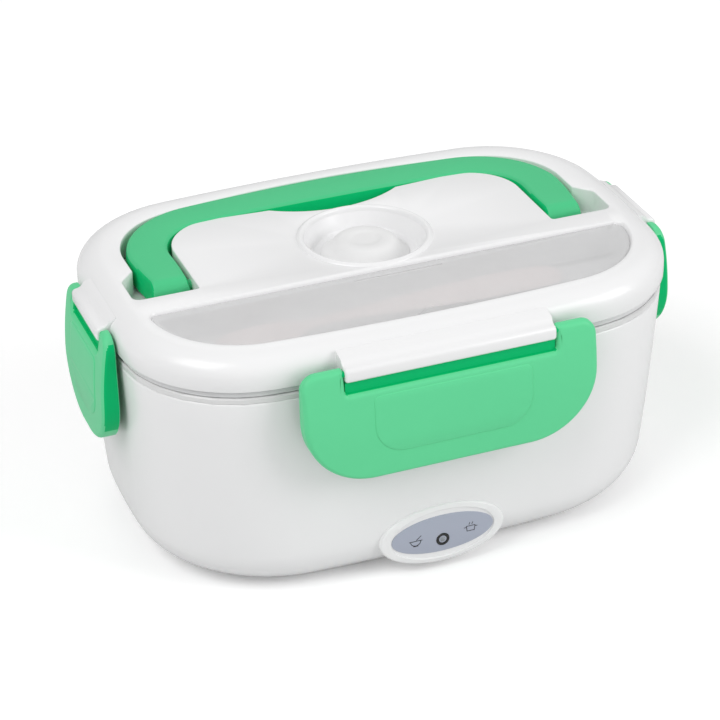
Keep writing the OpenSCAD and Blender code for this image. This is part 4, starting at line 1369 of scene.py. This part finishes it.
@dataclass
class Indicator:
    """The printed panel, its lamp and its pictures.

    Args:
        face: Y of the panel's face.
        middle: Height of the panel's middle.
        lamp: Height of the lamp.
        half: Half length and half height of the panel.
    """

    face: float = -72.4
    middle: float = 16.4
    lamp: float = 13.6
    half: Point = (21.0, 8.1)

    def upright(self, z: float) -> Matrix:
        """Stands work that lies in its own plane up on the front at a height."""
        return placed((0, self.face, z), "X", 90)

    def panel(self) -> None:
        """The printed film in its oval seat."""
        work = Former()
        long, high = self.half
        first = ring = work.draw(circle((0, 0), long, 96), -0.6)
        ring = work.push(ring, 0, 0.45)
        ring = work.round_over(ring, -0.4, 0.15, 3)
        work.cap(ring)
        work.cap(first)
        work.stand(Matrix.Diagonal((1.0, high / long, 1.0, 1.0)))
        work.stand(self.upright(self.middle))
        deliver(work.object("panel_film"), Finish.PRINT, "base", "panel_silver",
                "indicator_panel")

    def lamp_parts(self) -> None:
        """The black ring round the lamp, and its lens."""
        work = Former()
        work.turned([(1.5, -0.5), (2.6, -0.5), (2.75, 0.0), (2.6, 0.22), (2.2, 0.28), (1.8, 0.2),
                     (1.5, 0.0), (1.5, -0.5)], (0, 0, 0), 48)
        work.stand(self.upright(self.lamp))
        deliver(work.object("lamp_bezel"), Finish.BLACK, "base", "ring_black", "lamp_ring")
        work = Former()
        work.turned([(0, -0.5), (1.5, -0.5), (1.5, -0.15), (1.1, 0.02), (0.6, 0.1), (0, 0.13)],
                    (0, 0, 0), 32)
        work.stand(self.upright(self.lamp))
        deliver(work.object("lamp_window"), Finish.LENS, "base", "led_clear")

    def pictures(self) -> None:
        """Two small printed pictures: a bowl on the left, and a steaming pot on the right."""
        work = Former()
        ink = 0.05
        self.bowl(work, (-11.2, -1.0), ink)
        self.pot(work, (11.6, 0.4), ink)
        work.stand(self.upright(self.middle))
        deliver(work.object("panel_pictures"), Finish.INK, "base", "ring_black")

    @staticmethod
    def stroke(work: Former, a: Point, b: Point, width: float, ink: float) -> None:
        """One printed line."""
        way = Vector(b) - Vector(a)
        middle = (Vector(a) + Vector(b)) / 2
        work.block((way.length + width, width, ink), (middle.x, middle.y, ink / 2),
                   turn=math.degrees(math.atan2(way.y, way.x)))

    def bowl(self, work: Former, at: Point, ink: float) -> None:
        """A round bowl with a spoon lying over its rim."""
        x, y = at
        turns = 14
        for k in range(turns):
            a0, a1 = (180 + 180 * t / turns for t in (k, k + 1))
            self.stroke(work, around(at, 2.1, a0), around(at, 2.1, a1), 0.28, ink)
        self.stroke(work, (x - 2.6, y), (x + 2.6, y), 0.28, ink)
        self.stroke(work, (x - 0.9, y - 2.3), (x + 0.9, y - 2.3), 0.3, ink)
        self.stroke(work, (x + 0.3, y + 0.4), (x + 2.2, y + 2.0), 0.28, ink)

    def pot(self, work: Former, at: Point, ink: float) -> None:
        """A pot with two grips, a lid and steam."""
        x, y = at
        for a, b in (((x - 1.8, y), (x + 1.8, y)), ((x - 1.8, y), (x - 1.5, y - 2.2)),
                     ((x + 1.8, y), (x + 1.5, y - 2.2)), ((x - 1.5, y - 2.2), (x + 1.5, y - 2.2)),
                     ((x - 2.7, y - 0.5), (x - 1.9, y - 0.5)),
                     ((x + 1.9, y - 0.5), (x + 2.7, y - 0.5)),
                     ((x - 0.7, y + 0.7), (x - 0.4, y + 1.5)),
                     ((x + 0.5, y + 0.7), (x + 0.8, y + 1.5))):
            self.stroke(work, a, b, 0.26, ink)

    def build(self) -> None:
        """Makes the indicator's pieces."""
        self.panel()
        self.lamp_parts()
        self.pictures()


# ---------------------------------------------------------------- carried-over solids


def dress_solids() -> None:
    """Gives every solid its finish, also where a modelled piece stands for it."""
    finishes = {
        "base_cover": Finish.WHITE, "base_screws": Finish.STEEL, "feet": Finish.FOOT,
        "inner_liner": Finish.LINER, "heating_plate": Finish.ALUMINIUM,
        "ptc_heater": Finish.HEATER, "heater_film": Finish.FILM, "heater_clamp": Finish.STEEL,
        "clamp_screws": Finish.STEEL, "thermal_fuse": Finish.FUSE, "power_inlet": Finish.SOCKET,
        "inlet_pins": Finish.NICKEL, "live_wire": Finish.BROWN, "neutral_wire": Finish.BLUE,
        "fuse_wire": Finish.BROWN, "led_wires": Finish.RED, "led_board": Finish.BOARD,
        "indicator_led": Finish.LENS, "side_cup": Finish.CUP, "cup_lid": Finish.GREEN_PALE,
        "lid_gasket": Finish.SEAL, "body_shell": Finish.WHITE, "lamp_ring": Finish.BLACK,
        "indicator_panel": Finish.PRINT, "food_tray": Finish.STRIP, "lid": Finish.WHITE,
        "vent_plug": Finish.SILICONE, "spoon_cover": Finish.FROST, "spoon": Finish.PINK,
        "handle": Finish.GREEN, "front_clip": Finish.GREEN,
        "left_clip": Finish.GREEN, "right_clip": Finish.GREEN,
    }
    for name, finish in finishes.items():
        dress(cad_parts[name], finish)
        log.info("%s: solid dressed in %s", name, finish.value.name)


# ---------------------------------------------------------------- studio


@dataclass
class Studio:
    """Camera, soft lights, floor and backdrop.

    Args:
        azimuth: Degrees that the camera stands round from the front.
        elevation: Degrees that it stands up.
        roll: Degrees that it is tilted.
        place: Its position in metres.
        focal: Its focal length in pixels of a 720-pixel frame.
    """

    azimuth: float = -20.4187
    elevation: float = 29.6525
    roll: float = -1.3851
    place: tuple[float, float, float] = (-0.30101, -0.79477, 0.53854)
    focal: float = 2451.62

    def camera(self) -> None:
        """Sets the camera where the photograph was taken."""
        data = bpy.data.cameras.new("view")
        data.sensor_width = 36.0
        data.lens = self.focal * 36.0 / 720.0
        data.clip_start, data.clip_end = 0.05, 30.0
        az, el = math.radians(self.azimuth), math.radians(self.elevation)
        back = Vector((math.sin(az) * math.cos(el), -math.cos(az) * math.cos(el), math.sin(el)))
        right = (-back).cross(Vector((0, 0, 1))).normalized()
        up = right.cross(-back)
        ro = math.radians(self.roll)
        r2 = right * math.cos(ro) + up * math.sin(ro)
        u2 = up * math.cos(ro) - right * math.sin(ro)
        camera = bpy.data.objects.new("view", data)
        turn = Matrix((r2, u2, back)).transposed()
        camera.matrix_world = Matrix.Translation(self.place) @ turn.to_4x4()
        bpy.context.scene.collection.objects.link(camera)
        bpy.context.scene.camera = camera

    @staticmethod
    def lamp(name: str, place: Sequence[float], size: float, power: float) -> None:
        """A square soft light that faces the box."""
        data = bpy.data.lights.new(name, "AREA")
        data.shape, data.size, data.energy = "SQUARE", size, power
        lamp = bpy.data.objects.new(name, data)
        lamp.location = place
        aim = Vector((0, 0, 0.05)) - Vector(place)
        lamp.rotation_mode = "QUATERNION"
        lamp.rotation_quaternion = aim.to_track_quat("-Z", "Y")
        bpy.context.scene.collection.objects.link(lamp)

    @staticmethod
    def paper() -> bpy.types.Material:
        """Paper that is pale to the light, and white with a faint glow to the camera."""
        g = Graph("studio_paper")
        plain = g.tint(g.noise(20.0), (0.74, 0.74, 0.74), (0.76, 0.76, 0.76))
        seen = g.add("ShaderNodeLightPath", {}, {}, "Is Camera Ray")
        g.set(Base_Color=g.add("ShaderNodeMix", {"data_type": "RGBA"},
                               {"Factor": seen, "A": plain, "B": (0.97, 0.97, 0.97, 1.0)},
                               "Result"),
              Roughness=0.9, Emission_Strength=0.16,
              Emission_Color=g.add("ShaderNodeMix", {"data_type": "RGBA"},
                                   {"Factor": seen, "A": (0.0, 0.0, 0.0, 1.0),
                                    "B": (1.0, 1.0, 1.0, 1.0)}, "Result"))
        return g.material

    def surroundings(self) -> None:
        """The floor with its backdrop, swept up behind in one curve."""
        work = Former()
        start = bmesh.ops.create_vert(work.bm, co=(-4000, -3000, 0))["vert"][0]
        tip = bmesh.ops.extrude_vert_indiv(work.bm, verts=[start])["verts"][0]
        tip.co = (-4000, 2200, 0)
        bmesh.ops.spin(work.bm, geom=[tip], cent=(-4000, 2200, 600), axis=(1, 0, 0),
                       angle=math.radians(90), steps=16)
        high = max(work.bm.verts, key=lambda v: v.co.z)
        last = bmesh.ops.extrude_vert_indiv(work.bm, verts=[high])["verts"][0]
        last.co.z = 3500
        wide = bmesh.ops.extrude_edge_only(work.bm, edges=work.bm.edges[:])["geom"]
        for v in (g for g in wide if isinstance(g, BMVert)):
            v.co.x = 4000
        sweep = work.object("floor_and_backdrop", 180)
        sweep.data.materials.append(self.paper())

    def sky(self) -> None:
        """An even white surround."""
        world = bpy.data.worlds.new("surround")
        bpy.context.scene.world = world
        world.use_nodes = True
        nodes, links = world.node_tree.nodes, world.node_tree.links
        nodes.clear()
        out = nodes.new("ShaderNodeOutputWorld")
        lit = nodes.new("ShaderNodeBackground")
        lit.inputs["Color"].default_value = (1, 1, 1, 1)
        lit.inputs["Strength"].default_value = 0.54
        links.new(lit.outputs[0], out.inputs["Surface"])

    def build(self) -> None:
        """Sets up the studio."""
        self.camera()
        self.lamp("key", (-1.3, -0.6, 1.7), 1.2, 19.0)
        self.lamp("fill", (1.5, -1.3, 1.1), 1.2, 18.0)
        self.lamp("rim", (0.6, 1.6, 1.6), 1.0, 3.0)
        self.surroundings()
        self.sky()
        bpy.context.scene.view_settings.view_transform = "Standard"


def clips() -> Iterable[Clip]:
    """The three clips."""
    yield Clip("front_clip", 58.1, 41.8, -44.2, 27.0, 4.6, 31.3, (28.0, 4.9), 0.0, 80.5,
               painted_shade_sides=False)
    for name, turn in (("left_clip", -90.0), ("right_clip", 90.0)):
        yield Clip(name, 27.0, 17.7, -48.4, 23.0, 4.9, 17.0, (12.0, 3.0), turn, 112.9)


def main() -> None:
    """Builds the box and its studio."""
    logging.basicConfig(level=logging.INFO, format="%(message)s")
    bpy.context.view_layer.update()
    Studio().build()
    dress_solids()
    lid = Lid()
    makers: list[Callable[[], None]] = [
        Tub().build, Tray().build, lid.build, LidFittings(lid).build, Handle().build,
        Indicator().build, *(clip.build for clip in clips())]
    for make in makers:
        make()


if __name__ == "__main__":
    main()
